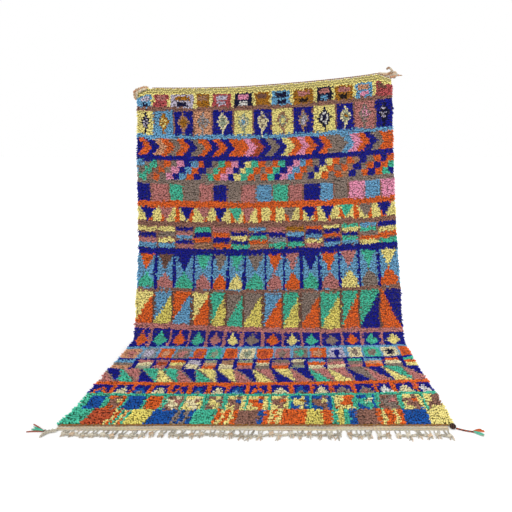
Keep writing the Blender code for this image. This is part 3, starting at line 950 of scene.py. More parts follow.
class YarnMesh:
    """Yarns laid one after another and joined into one mesh."""

    def __init__(self, seed: int = 1) -> None:
        """Starts with no yarn."""
        self.verts: list[np.ndarray] = []
        self.quads: list[np.ndarray] = []
        self.cells: list[np.ndarray] = []
        self.lengths: list[np.ndarray] = []
        self.uvs: list[np.ndarray] = []
        self.count = 0
        self.rng = random.Random(seed)

    def strand(
        self,
        points: np.ndarray,
        radius: float | np.ndarray,
        yarn: str,
        up: Sequence[float] = (0, 0, 1),
        sides: int = 6,
    ) -> None:
        """Lays one yarn along a line, thinner at both ends.

        Args:
            points: The yarn's centre line.
            radius: Its radius, or one for each point.
            yarn: The yarn's name.
            up: A direction that the line never follows.
            sides: How many sides it has.
        """
        points = np.asarray(points, float)
        n = len(points)
        radii = np.full(n, radius, float) if np.isscalar(radius) else np.asarray(radius, float).copy()
        radii[[0, -1]] *= 0.45
        along = unit(np.gradient(points, axis=0))
        side = unit(np.cross(along, np.asarray(up, float)))
        top = np.cross(side, along)
        turn = 2 * math.pi * np.arange(sides) / sides
        ring = side[:, None] * np.cos(turn)[None, :, None] + top[:, None] * np.sin(turn)[None, :, None]
        verts = points[:, None] + ring * radii[:, None, None]
        i, j = np.meshgrid(np.arange(n - 1), np.arange(sides), indexing="ij")
        k = (j + 1) % sides
        quads = np.stack([i * sides + j, i * sides + k, (i + 1) * sides + k, (i + 1) * sides + j], axis=-1)
        level = np.abs((np.arange(n) + 4) % 8 - 4) / 4
        u = np.stack([j, j + 1, j + 1, j], axis=-1) / sides
        v = np.stack([level[i], level[i], level[i + 1], level[i + 1]], axis=-1)
        cell = yarns(yarn)[0] * TINTS + self.rng.randrange(TINTS)
        self.verts.append(verts.reshape(-1, 3))
        self.quads.append(quads.reshape(-1, 4) + self.count)
        self.cells.append(np.full(n * sides, cell))
        self.lengths.append(np.repeat(level, sides))
        self.uvs.append(np.stack([u, v, np.full_like(u, cell)], axis=-1).reshape(-1, 3))
        self.count += n * sides

    def finish(self, name: str, finish: Finish) -> bpy.types.Object:
        """Joins the yarns into one piece with that name and finish."""
        cells = np.concatenate(self.cells)
        uvs = np.concatenate(self.uvs)
        used = np.unique(cells)
        number = np.searchsorted(used, uvs[:, 2])
        flat = np.stack([(number + 0.06 + 0.88 * uvs[:, 0]) / len(used), 0.02 + 0.96 * uvs[:, 1]], axis=1)
        colours = FREE_YARN * tinted(cells // TINTS, cells % TINTS)
        verts = np.concatenate(self.verts)
        verts[:, 2] = np.maximum(verts[:, 2], YARN_LOW)
        return make_mesh(
            name, verts, [np.concatenate(self.quads)], colours, np.concatenate(self.lengths), flat, finish
        )


def travelled(points: np.ndarray) -> np.ndarray:
    """How far along a line each of its points is."""
    return np.concatenate(([0.0], np.cumsum(np.linalg.norm(np.diff(points, axis=0), axis=1))))


def resample(points: Sequence[Sequence[float]], step: float) -> np.ndarray:
    """Points about a step apart on a smooth line through a few given points."""
    points = np.array(points, float)
    lengths = travelled(points)
    count = max(4, int(round(lengths[-1] / step)) + 1)
    at = np.linspace(0, lengths[-1], count)
    return np.stack([Curve(lengths, points[:, k])(at) for k in range(3)], axis=1)


def offset(points: np.ndarray, up: Sequence[float], sideways: np.ndarray, upward: np.ndarray) -> np.ndarray:
    """A line moved aside and upward from another, by that much at each point."""
    along = unit(np.gradient(points, axis=0))
    side = unit(np.cross(along, np.asarray(up, float)))
    top = np.cross(side, along)
    return points + side * np.asarray(sideways)[:, None] + top * np.asarray(upward)[:, None]


def wind(mesh: YarnMesh, centre: Sequence[float], size: Sequence[float], turns: int, yarn: str) -> None:
    """Winds yarn round and round into a knot.

    Args:
        mesh: The mesh that it joins.
        centre: The knot's middle.
        size: Half its size in each direction.
        turns: How often the yarn goes round.
        yarn: The yarn's name.
    """
    t = np.linspace(0, 1, turns * 12)
    tilt = math.pi * (0.08 + 0.84 * t)
    spin = 2 * math.pi * turns * t
    x = np.cos(tilt)
    y = np.sin(tilt) * np.cos(spin)
    z = np.sin(tilt) * np.sin(spin)
    line = np.asarray(centre) + np.stack([x, y, z], axis=1) * np.asarray(size) * 0.86
    line[:, 2] = np.maximum(line[:, 2], 0.002)
    mesh.strand(line, max(size) * 0.17, yarn, (1, 0.01, 0.02))


@dataclass
class Twine:
    """Plies twisted round each other."""

    radius: float
    pitch: float
    yarns: tuple[str, ...]
    up: tuple[float, float, float] = (0, 0, 1)

    def lay(self, mesh: YarnMesh, points: np.ndarray) -> None:
        """Lays the plies along a line.

        Args:
            mesh: The mesh that they join.
            points: The line, with several points to each turn.
        """
        turn = 2 * math.pi * travelled(points) / self.pitch
        count = len(self.yarns)
        ply = self.radius / (1 + 1 / math.sin(math.pi / count)) * 1.12
        away = self.radius - ply
        for k, yarn in enumerate(self.yarns):
            angle = turn + 2 * math.pi * k / count
            line = offset(points, self.up, away * np.cos(angle), away * np.sin(angle))
            mesh.strand(line, ply, yarn, self.up)


@dataclass
class Plait:
    """A flat plait of three plies, each a few yarns side by side."""

    width: float
    height: float
    pitch: float
    yarns: tuple[str, str, str]
    up: tuple[float, float, float]
    yarns_each: int = 4

    def lay(self, mesh: YarnMesh, points: np.ndarray, scale: np.ndarray) -> None:
        """Plaits along a line, with its width scaled at each point."""
        way = 2 * math.pi * travelled(points) / self.pitch
        for k, yarn in enumerate(self.yarns):
            phase = way + 2 * math.pi * k / 3
            across = self.width * 0.30 * np.sin(phase)
            upward = self.height * 0.24 * np.sin(2 * phase)
            for j in range(self.yarns_each):
                spread = 2 * math.pi * j / self.yarns_each + way * 0.35
                own = self.width * 0.105
                line = offset(
                    points,
                    self.up,
                    (across + own * np.cos(spread)) * scale,
                    (upward + self.height * 0.12 * np.sin(spread)) * scale,
                )
                mesh.strand(line, self.width * 0.096 * scale, yarn, self.up)


@dataclass(frozen=True)
class Locks:
    """The locks of one piece of pile: their places as shares of the rug, their yarns, shades and clots."""

    across: np.ndarray
    along: np.ndarray
    yarn: np.ndarray
    tint: np.ndarray
    clot: np.ndarray


@dataclass
class Pile:
    """The knotted pile: two locks of wool to each knot."""

    drape: Drape
    columns: int = KNOTS_ACROSS
    rows: int = KNOTS_ALONG
    radius: float = 0.0050
    parts: int = 4
    seed: int = 5
    pieces: list[bpy.types.Object] = field(default_factory=list)

    def build(self, design: Design) -> None:
        """Ties every knot and joins the locks into a few pieces, from the top edge down."""
        edges = np.linspace(0, self.rows, self.parts + 1).round().astype(int)
        for k in range(self.parts):
            self.pieces.append(self.part(design, k, edges[k], edges[k + 1]))

    def part(self, design: Design, number: int, first: int, last: int) -> bpy.types.Object:
        """The locks of some rows as one piece.

        Args:
            design: Gives each knot its yarn.
            number: The piece's number, from the top.
            first: Its first row.
            last: The row after its last.

        Returns:
            The piece.
        """
        rng = np.random.default_rng(self.seed + number)
        locks = self.tie(design, rng, first, last)
        verts = self.grow(locks, rng)
        count = len(verts)
        start = np.arange(count)[:, None, None] * 7
        quads = start + np.array([[j, (j + 1) % 3, 3 + (j + 1) % 3, 3 + j] for j in range(3)])[None]
        tips = start + np.array([[3 + j, 3 + (j + 1) % 3, 6] for j in range(3)])[None]
        # The share of the lock's length at each corner, which sets its painted root shade.
        lengths = np.tile(np.array([0.0, 0.0, 0.0, 0.58, 0.58, 0.58, 1.0]), count)
        return make_mesh(
            f"pile_{number + 1}",
            verts.reshape(-1, 3),
            [quads.reshape(-1, 4), tips.reshape(-1, 3)],
            np.repeat(tinted(locks.yarn, locks.tint), 7, axis=0),
            lengths,
            self.flatten(locks),
            PILE_WOOL,
        )

    def tie(self, design: Design, rng: np.random.Generator, first: int, last: int) -> Locks:
        """Ties the knots of some rows and opens each into two locks, all a little out of place.

        Args:
            design: Gives each knot its yarn.
            rng: Gives the locks their differences.
            first: The first row.
            last: The row after the last.

        Returns:
            The locks, two by two.
        """
        row, column = np.meshgrid(np.arange(first, last), np.arange(self.columns), indexing="ij")
        row, column = row.ravel(), column.ravel()
        across = (column + 0.5) / self.columns
        along = (row + 0.5) / self.rows
        yarn = design.knots(across, along)
        patch = lumps(np.stack([across * 5, along * 60, np.full_like(along, 3.0)], axis=1))
        clot = lumps(np.stack([across * 78, along * 190, np.full_like(along, 9.0)], axis=1))
        tint = 2.5 + 0.9 * patch + 1.8 * clot + rng.normal(0, 0.45, len(yarn))
        pair = np.array([-0.25, 0.25])
        count = 2 * len(yarn)
        moved = np.repeat(rng.normal(0, 0.13, (2, len(along))), 2, axis=1) + rng.normal(0, 0.10, (2, count))
        across = (across[:, None] + pair / self.columns).ravel() + moved[0] / self.columns
        along = np.repeat(along, 2) + 1.4 * moved[1] / self.rows
        tint = np.repeat(tint, 2) + rng.normal(0, 0.5, count)
        return Locks(
            np.clip(across, 0.0015, 0.9985),
            np.clip(along, 0.0008, 0.9992),
            np.repeat(yarn, 2),
            np.clip(tint, 0, TINTS - 1).round().astype(int),
            np.repeat(clot, 2),
        )

    def aim(
        self, locks: Locks, lean: np.ndarray, frame: Sequence[np.ndarray], rng: np.random.Generator
    ) -> np.ndarray:
        """The way each lock points: down the rug with its clump, outward at the sides and up at the top edge.

        Args:
            locks: The locks.
            lean: How far each leans over, in radians.
            frame: The directions to the right, down the rug and out of it at each lock.
            rng: Gives the locks their differences.

        Returns:
            A direction for each lock.
        """
        right, ahead, out = frame
        across, along = locks.across, locks.along
        count = len(across)
        clump = lumps(np.stack([across * 26, along * 40, np.full_like(along, 5.0)], axis=1))
        way = 0.6 * clump + np.repeat(rng.normal(0, 0.22, count // 2), 2) + rng.normal(0, 0.12, count)
        edge = np.clip((np.abs(2 * across - 1) - 0.975) / 0.02, 0, 1) * np.sign(across - 0.5)
        heading = ahead * np.cos(way)[:, None] + right * (np.sin(way) + 0.35 * edge)[:, None]
        aim = out * np.cos(lean)[:, None] + unit(heading) * np.sin(lean)[:, None]
        standing = np.clip(1 - along / 0.007, 0, 1) * np.where(across < 0.36, 1.0, 0.62)
        return unit(aim - ahead * standing[:, None])

    def grow(self, locks: Locks, rng: np.random.Generator) -> np.ndarray:
        """Lets the locks grow out of the ground, longer at the upper left corner and frayed at the front.

        Args:
            locks: The locks.
            rng: Gives them their differences.

        Returns:
            Seven corners for each lock: three at its root, three in its middle and its tip.
        """
        across, along = locks.across, locks.along
        count = len(across)
        points, right, ahead, out = self.drape.frames(across, along)
        tall = self.drape.thickness(across, along) - BACKING
        tall = tall * (rng.uniform(0.90, 1.08, count) + 0.22 * locks.clot)
        lean = np.radians(np.repeat(rng.uniform(42, 58, count // 2), 2) - 14 * locks.clot)
        lean *= np.clip((1 - along) / 0.010, 0.70, 1) * np.clip(along / 0.010, 0, 1)
        aim = self.aim(locks, lean, (right, ahead, out), rng)
        root = points + out * (BACKING * 0.8)
        corner = np.clip(1 - across / 0.05, 0, 1) * np.clip(1 - along / 0.012, 0, 1)
        fray = rng.uniform(0, 0.7, count) * (along > 0.991)
        reach = (tall / np.cos(lean) * (1 + 1.2 * corner + fray))[:, None]
        middle = root + aim * reach * 0.55 + out * tall[:, None] * 0.08
        tip = root + aim * reach
        for place in (middle, tip):
            place[:, 2] = np.maximum(place[:, 2], 0.001)
        side = unit(np.cross(aim, right + 0.01))
        over = np.cross(side, aim)
        roll = rng.uniform(0, 2 * math.pi, count)
        wide = self.radius * rng.uniform(0.85, 1.15, count)
        verts = np.empty((count, 7, 3))
        for j in range(3):
            turn = roll + 2 * math.pi * j / 3
            ring = over * np.cos(turn)[:, None] + side * np.sin(turn)[:, None]
            verts[:, j] = root + ring * (0.72 * wide)[:, None]
            verts[:, 3 + j] = middle + ring * wide[:, None]
        verts[:, 6] = tip
        verts[..., 2] = np.maximum(verts[..., 2], LOCK_LOW)
        return verts

    def flatten(self, locks: Locks) -> np.ndarray:
        """The map places of the locks' corners: a column to each shade of a yarn, the roots at its foot."""
        cell = locks.yarn * TINTS + locks.tint
        used = np.unique(cell)
        left = np.searchsorted(used, cell)[:, None, None] + 0.08
        thirds = 0.84 / 3
        quad_u = left + thirds * np.array([[j, j + 1, j + 1, j] for j in range(3)])[None]
        tip_u = left + thirds * np.array([[j, j + 1, j + 0.5] for j in range(3)])[None]
        quad_v = np.broadcast_to(np.array([0.02, 0.02, 0.58, 0.58]), quad_u.shape)
        tip_v = np.broadcast_to(np.array([0.58, 0.58, 0.98]), tip_u.shape)
        return np.concatenate([
            np.stack([quad_u / len(used), quad_v], axis=-1).reshape(-1, 2),
            np.stack([tip_u / len(used), tip_v], axis=-1).reshape(-1, 2),
        ])


@dataclass
class Ground:
    """The woven ground, a thin closed cloth on the drape, with the knots showing on its back."""

    drape: Drape
    columns: int = KNOTS_ACROSS
    rows: int = KNOTS_ALONG
    width: float = 1.90

    def build(self, design: Design, locks: Sequence[bpy.types.Object]) -> bpy.types.Object:
        """Makes the cloth in place of the rug's solid.

        Args:
            design: Gives each knot its yarn.
            locks: The pieces of pile on it; not used.

        Returns:
            The cloth.
        """
        nx, ny = self.columns, self.rows
        row, column = np.meshgrid(np.arange(ny + 1), np.arange(nx + 1), indexing="ij")
        across, along = column.ravel() / nx, row.ravel() / ny
        points, _, _, out = self.drape.frames(across, along)
        number = row * (nx + 1) + column
        face = np.stack([number[:-1, :-1], number[1:, :-1], number[1:, 1:], number[:-1, 1:]], axis=-1)
        face = face.reshape(-1, 4)
        count = len(points)
        rim = np.concatenate([number[:, 0], number[-1, 1:], number[::-1, -1][1:], number[0, ::-1][1:-1]])
        after = np.roll(rim, -1)
        walls = np.stack([rim, after, after + count, rim + count], axis=1)
        front = face + count
        verts = np.concatenate([points, points + out * (BACKING * 0.8)])
        yarn = design.knots(across[face].mean(axis=1), along[face].mean(axis=1))
        tint = np.random.default_rng(9).integers(1, TINTS, len(face))
        wool = np.array(Yarn.TAUPE.value)
        knots = np.repeat(tinted(yarn, tint), 4, axis=0)
        # Pile side: the knots' colours far darker than on the back, a painted shade under the locks, in taupe
        # weave.
        colours = np.concatenate([
            knots * 0.70 + wool * 0.12, knots * 0.35 + wool * 0.2, np.broadcast_to(wool, (4 * len(walls), 3))
        ])
        back_uv = np.stack([0.01 + 0.47 * across, 0.99 - 0.98 * along], axis=1)
        front_uv = back_uv + np.array([0.50, 0])
        uv = np.concatenate([back_uv, front_uv])
        wall_uv = uv[walls.ravel() % count]
        faces = np.concatenate([face[:, ::-1], front, walls])
        uvs = np.concatenate([uv[face[:, ::-1].ravel()], uv[front.ravel()], wall_uv])
        cloth = make_mesh("ground", verts, [faces], colours, np.ones(2 * count), uvs, GROUND_WOOL)
        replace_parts(cloth, "rug")
        return cloth


class EdgeCords:
    """The twined cords along the rug's two ends."""

    TOP_RADIUS = 0.0046
    TOP_FROM = 3
    TOP_GAP = 0.0006
    FRONT_RADIUS = 0.0038
    FRONT_GAP = 0.0003
    FRONT_SIDE = 0.012
    RIGHT_SIDE = 0.028
    FRONT_HEIGHT = 0.0043

    def __init__(self, drape: Drape) -> None:
        """Keeps the drape that the cords follow."""
        self.drape = drape

    def build(self) -> None:
        """Lays both cords."""
        top = YarnMesh(21)
        line = resample(self.drape.top_line(self.TOP_FROM, self.TOP_RADIUS + self.TOP_GAP), 0.004)
        Twine(self.TOP_RADIUS, 0.034, ("ochre", "brown"), (0, -1, 0)).lay(top, line)
        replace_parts(top.finish("top_cord_yarns", CORD_WOOL), "top_cord")
        front = YarnMesh(22)
        half = OUTLINE[-1].width / 2
        y = FRONT_Y - self.FRONT_GAP - self.FRONT_RADIUS
        z = self.FRONT_HEIGHT + self.FRONT_RADIUS
        ends = [(FRONT_X - half + self.FRONT_SIDE, y, z), (FRONT_X + half - self.RIGHT_SIDE, y, z)]
        line = resample((ends[0], tuple(np.mean(ends, axis=0)), ends[1]), 0.004)
        Twine(self.FRONT_RADIUS, 0.030, ("tan", "ochre")).lay(front, line)
        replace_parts(front.finish("front_cord_yarns", CORD_WOOL), "front_cord")


def on_floor(right: float, forward: float, height: float) -> tuple[float, float, float]:
    """A point counted from the middle of the front edge, to the right, forward and up."""
    return FRONT_X + right, FRONT_Y - forward, height


@dataclass
class EndFringe:
    """The flat-woven end strip, and its warp ends knotted in pairs and linked."""

    UPPER_WEFTS = ("tan", "sand", "cream")
    LOWER_WEFTS = ("cream", "cream", "pale", "sand")

    strip_depth: float = 0.040
    strip_wander: float = 0.002
    strip_height: float = 0.004
    side_left: float = 0.004
    side_right: float = 0.028
    net_side: float = 0.036
    yarn_width: float = 0.011
    knots: int = 40
    knot_ahead: float = 0.045
    knot_width: float = 0.032
    knot_depth: float = 0.024
    knot_height: float = 0.017
    knot_wander: float = 0.005
    tail_short: float = 0.010
    tail_long: float = 0.034
    linked_share: float = 0.75
    seed: int = 11
    wefts: int = 13

    def build(self) -> bpy.types.Object:
        """Lays the strip and the net in place of their solid."""
        rng = random.Random(self.seed)
        mesh = YarnMesh(31)
        left = -OUTLINE[-1].width / 2 + self.side_left
        right = OUTLINE[-1].width / 2 - self.side_right
        start = left + self.net_side
        pitch = (right - start) / self.knots
        roots = [left]
        for cell in range(self.knots):
            middle = start + pitch * (cell + 0.5)
            for side in (-1, 1):
                root = middle + side * pitch * rng.uniform(0.20, 0.30)
                roots += [root - self.yarn_width / 2, root + self.yarn_width / 2]
        roots.append(right)
        wavy = [0.0] + [rng.uniform(-self.strip_wander, self.strip_wander) for _ in roots[1:]]
        self.strip(mesh, roots, wavy)
        centres = []
        for cell in range(self.knots):
            x = start + pitch * (cell + 0.5) + rng.uniform(-self.knot_wander, self.knot_wander)
            centres.append(self.knot(mesh, rng, cell, x, roots[1 + 4 * cell : 5 + 4 * cell]))
        for cell in range(self.knots - 1):
            if rng.random() < self.linked_share:
                self.link(mesh, centres[cell], centres[cell + 1])
        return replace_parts(mesh.finish("fringe_yarns", WARP_WOOL), "end_fringe")

    def knot(
        self, mesh: YarnMesh, rng: random.Random, number: int, x: float, roots: Sequence[float]
    ) -> tuple[np.ndarray, float, float]:
        """Makes one knot of the net with its legs and tails.

        Args:
            mesh: The mesh that they join.
            rng: Gives the knot its differences.
            number: Its number from the left.
            x: Its place to the right of the front edge's middle.
            roots: The sides of its two legs at the strip.

        Returns:
            Its middle, width and height.
        """
        ahead = self.strip_depth + self.knot_ahead * rng.uniform(0.75, 1.20)
        wide = self.knot_width * rng.uniform(0.8, 1.05)
        high = self.knot_height * rng.uniform(0.75, 1.0)
        deep = self.knot_depth * rng.uniform(0.85, 1.15)
        centre = np.array([x, ahead])
        self.tie(mesh, centre, wide, deep, high, number)
        for k, side in enumerate((-1, 1)):
            root = (roots[2 * k] + roots[2 * k + 1]) / 2
            self.leg(mesh, root, centre + np.array([side * wide * 0.22, -deep * 0.30]), high)
        for side, lean in ((1, rng.uniform(-0.2, 0.5)), (-1, rng.uniform(-0.5, 0.2))):
            length = rng.uniform(self.tail_short, self.tail_long) * (0.8 + 0.35 * math.sin(2.1 * x + 0.6))
            self.tail(mesh, centre + np.array([side * wide * 0.22, deep * 0.36]), lean, length)
        return centre, wide, high

    def strip(self, mesh: YarnMesh, roots: Sequence[float], wavy: Sequence[float]) -> None:
        """Weaves the end strip: cross yarns side by side in short lengths, over and under the warp."""
        xs = np.arange(roots[0], roots[-1], 0.009)
        edge = np.interp(xs, roots, wavy)
        for k in range(self.wefts):
            share = (k + 0.5) / self.wefts
            forward = share * (self.strip_depth + edge) + 0.0006 * np.sin(xs * 61 + k)
            up = self.strip_height / 2 + 0.0009 * np.where((np.arange(len(xs)) + k) % 2, 1, -1)
            line = np.stack([FRONT_X + xs, FRONT_Y - forward, up], axis=1)
            first = 0
            while first < len(line) - 4:
                last = first + mesh.rng.randint(5, 15)
                last = len(line) if last > len(line) - 5 else last
                name = mesh.rng.choice(self.UPPER_WEFTS if k < 3 else self.LOWER_WEFTS)
                mesh.strand(line[first:last], self.strip_depth / self.wefts * 0.56, name, sides=5)
                first = last - 1

    def tie(
        self, mesh: YarnMesh, centre: np.ndarray, wide: float, deep: float, high: float, number: int
    ) -> None:
        """Ties one overhand knot of two yarns.

        Args:
            mesh: The mesh that it joins.
            centre: Its middle, right and forward of the front edge's middle.
            wide: Its width.
            deep: Its depth.
            high: Its height.
            number: Its number from the left, which turns it and picks its yarns.
        """
        t = np.linspace(0, 2 * math.pi, 34)
        thick = min(0.0040, high * 0.26)
        for k in range(2):
            t2 = t + 0.16 * k + number
            x = (np.sin(t2) + 2 * np.sin(2 * t2)) / 3 * (wide / 2 - thick)
            y = (np.cos(t2) - 2 * np.cos(2 * t2)) / 3 * (deep / 2 - thick)
            z = high / 2 - np.sin(3 * t2) * (high / 2 - thick) + 0.0006 * k
            points = [on_floor(centre[0] + a, centre[1] + b, c) for a, b, c in zip(x, y, z)]
            name = ("cream", "cream", "sand", "cream")[(number + k) % 4]
            mesh.strand(np.array(points), thick * 0.92, name, (0.02, 0.03, 1))

    def leg(self, mesh: YarnMesh, root: float, knot: np.ndarray, high: float) -> None:
        """Lays the warp ends from the strip's edge into a knot."""
        for k in range(2):
            aside = (k - 0.5) * self.yarn_width * 0.34
            bow = mesh.rng.uniform(-0.006, 0.006)
            middle = (np.array([root, self.strip_depth]) + knot) / 2
            line = resample(
                (
                    on_floor(root + aside, self.strip_depth - 0.002, 0.0022),
                    on_floor(middle[0] + aside + bow, middle[1], 0.0028 + 0.001 * k),
                    on_floor(knot[0] + aside * 0.5, knot[1], high * 0.42),
                ),
                0.005,
            )
            mesh.strand(line, mesh.rng.uniform(0.0019, 0.0028), "cream", sides=5)

    def tail(self, mesh: YarnMesh, root: np.ndarray, lean: float, length: float) -> None:
        """Lays the loose ends that leave a knot."""
        for k in range(3):
            own = lean + mesh.rng.uniform(-0.45, 0.45)
            heading = np.array([own, 1]) / math.hypot(own, 1)
            aside = np.array([heading[1], -heading[0]])
            start = root + aside * (k - 1) * 0.0024
            end = root + heading * length * mesh.rng.uniform(0.45, 1.05)
            middle = (start + end) / 2 + aside * mesh.rng.uniform(-0.005, 0.005)
            line = resample(
                (on_floor(*start, 0.0064), on_floor(*middle, 0.0040), on_floor(*end, 0.0024)), 0.0035
            )
            mesh.strand(line, np.linspace(0.0026, 0.0017, len(line)), ("cream", "cream", "sand")[k], sides=5)

    def link(self, mesh: YarnMesh, a: tuple, b: tuple) -> None:
        """Twists two yarns from one knot to the next."""
        start = a[0] + np.array([a[1] * 0.40, 0])
        end = b[0] - np.array([b[1] * 0.40, 0])
        middle = (start + end) / 2 + np.array([0, mesh.rng.uniform(-0.001, 0.004)])
        line = resample(
            (on_floor(*start, a[2] * 0.42), on_floor(*middle, 0.0055), on_floor(*end, b[2] * 0.42)), 0.0035
        )
        Twine(0.0058, 0.020, ("cream", "cream")).lay(mesh, line)
        wind(mesh, line[len(line) // 2] + np.array([0, 0, 0.001]), (0.006, 0.008, 0.006), 4, "cream")


class TopCorners:
    """The braid at the upper left corner and the gathered warp ends at the upper right one.

    The rows of the routes are metres to the right of the corner, metres above it and a share of the radius.
    The rows of the ties are the same two places and the size of the tie.
    """

    BRAID = (
        (0.0800, 0.0375, 0.50), (0.0560, 0.0385, 0.88), (0.0280, 0.0280, 1.0), (-0.0030, 0.0185, 1.0),
        (-0.0150, 0.0100, 1.0), (-0.0180, -0.0040, 1.0), (-0.0178, -0.0200, 0.95), (-0.0158, -0.0380, 0.78),
        (-0.0105, -0.0540, 0.42),
    )
    LINING = (
        (0.0700, 0.0230, 1.0), (0.0450, 0.0230, 1.0), (0.0210, 0.0130, 1.0), (0.0040, 0.0020, 1.0),
        (-0.0030, -0.0090, 1.0), (-0.0040, -0.0220, 1.0), (-0.0030, -0.0360, 1.0),
    )
    BUNCH = (
        (-0.0980, 0.0470, 0.42), (-0.0600, 0.0400, 0.95), (-0.0300, 0.0334, 1.60), (-0.0060, 0.0360, 2.10),
        (0.0160, 0.0365, 2.30), (0.0330, 0.0310, 1.60), (0.0470, 0.0275, 0.75), (0.0630, 0.0270, 0.50),
        (0.0800, 0.0260, 0.40),
    )
    CURL = (
        (0.0060, 0.0450, 1.0), (0.0030, 0.0620, 1.0), (-0.0060, 0.0760, 1.0), (-0.0180, 0.0830, 0.95),
        (-0.0300, 0.0790, 0.85), (-0.0330, 0.0680, 0.65),
    )
    TIES = (
        (-0.0560, 0.0320, 0.009), (-0.0220, 0.0220, 0.012), (0.0020, 0.0180, 0.015), (0.0200, 0.0140, 0.013),
        (-0.0420, 0.0370, 0.011), (-0.0240, 0.0345, 0.014), (-0.0060, 0.0330, 0.018), (0.0060, 0.0470, 0.016),
        (0.0190, 0.0270, 0.017), (0.0240, 0.0450, 0.016), (0.0350, 0.0300, 0.015), (0.0500, 0.0270, 0.009),
        (0.0030, 0.0610, 0.011), (-0.0070, 0.0750, 0.010), (-0.0200, 0.0825, 0.010), (-0.0310, 0.0760, 0.009),
    )
    BRAID_RADIUS = 0.016
    BUNCH_RADIUS = 0.010
    CURL_RADIUS = 0.0085
    FACING = (0.0, -1.0, 0.0)

    def __init__(self, drape: Drape) -> None:
        """Keeps the drape whose corners hold the pieces."""
        self.drape = drape

    def route(self, table: Sequence[Sequence[float]], corner: np.ndarray, step: float) -> tuple:
        """A smooth line through a table's places beside a corner, with the radius share at each point."""
        points = np.array([corner + np.array([x, 0, z]) for x, z, _ in table])
        lengths = travelled(points)
        line = resample(points, step)
        share = Curve(lengths, [row[2] for row in table])(np.linspace(0, lengths[-1], len(line)))
        return line, share

    def build(self) -> None:
        """Makes both pieces."""
        braid = YarnMesh(41)
        line, share = self.route(self.BRAID, self.drape.upper_corner(0), 0.0035)
        wide = 2 * self.BRAID_RADIUS
        plait = Plait(wide, wide, 0.058, ("sand", "peach", "sand"), self.FACING, 5)
        plait.lay(braid, line, share)
        line, _ = self.route(self.LINING, self.drape.upper_corner(0) + np.array([0, -0.008, 0]), 0.003)
        Twine(0.0105, 0.030, ("sand", "pale", "cream")).lay(braid, line)
        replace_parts(braid.finish("top_left_braid_yarns", BRAID_WOOL), "top_left_braid")
        bunch = YarnMesh(42)
        corner = self.drape.upper_corner(1)
        line, share = self.route(self.BUNCH, corner, 0.006)
        self.bundle(bunch, line, share * self.BUNCH_RADIUS, 44, 0.9, ("sand", "cream", "sand", "tan"))
        line, share = self.route(self.CURL, corner, 0.004)
        self.bundle(bunch, line, share * self.CURL_RADIUS, 9, 2.4, ("sand", "cream", "tan"))
        for k, (x, z, size) in enumerate(self.TIES):
            centre = corner + np.array([x, -0.002 * (k % 3), z])
            wind(bunch, centre, (size, 0.8 * size, 0.9 * size), 5, ("sand", "cream", "peach")[k % 3])
        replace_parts(bunch.finish("top_right_bunch_yarns", WARP_WOOL), "top_right_bunch")

    def bundle(
        self,
        mesh: YarnMesh,
        line: np.ndarray,
        radii: np.ndarray,
        count: int,
        turns: float,
        names: Sequence[str],
    ) -> None:
        """Yarns side by side in a round bundle that turns a little along its line.

        Args:
            mesh: The mesh that they join.
            line: The bundle's centre line.
            radii: Its radius at each point.
            count: How many yarns it has.
            turns: How often it turns round over its length.
            names: The yarns that it takes in turn.
        """
        way = np.linspace(0, 2 * math.pi * turns, len(line))
        for k in range(count):
            away = math.sqrt((k + 0.5) / count)
            angle = way + k * 2.39996 + 0.25 * np.sin(way * 2 + k)
            own = 0.0034
            reach = np.maximum(radii - own, 0.001) * away
            path = offset(line, self.FACING, reach * np.cos(angle), reach * np.sin(angle))
            mesh.strand(path, own, names[k % len(names)], self.FACING, 5)


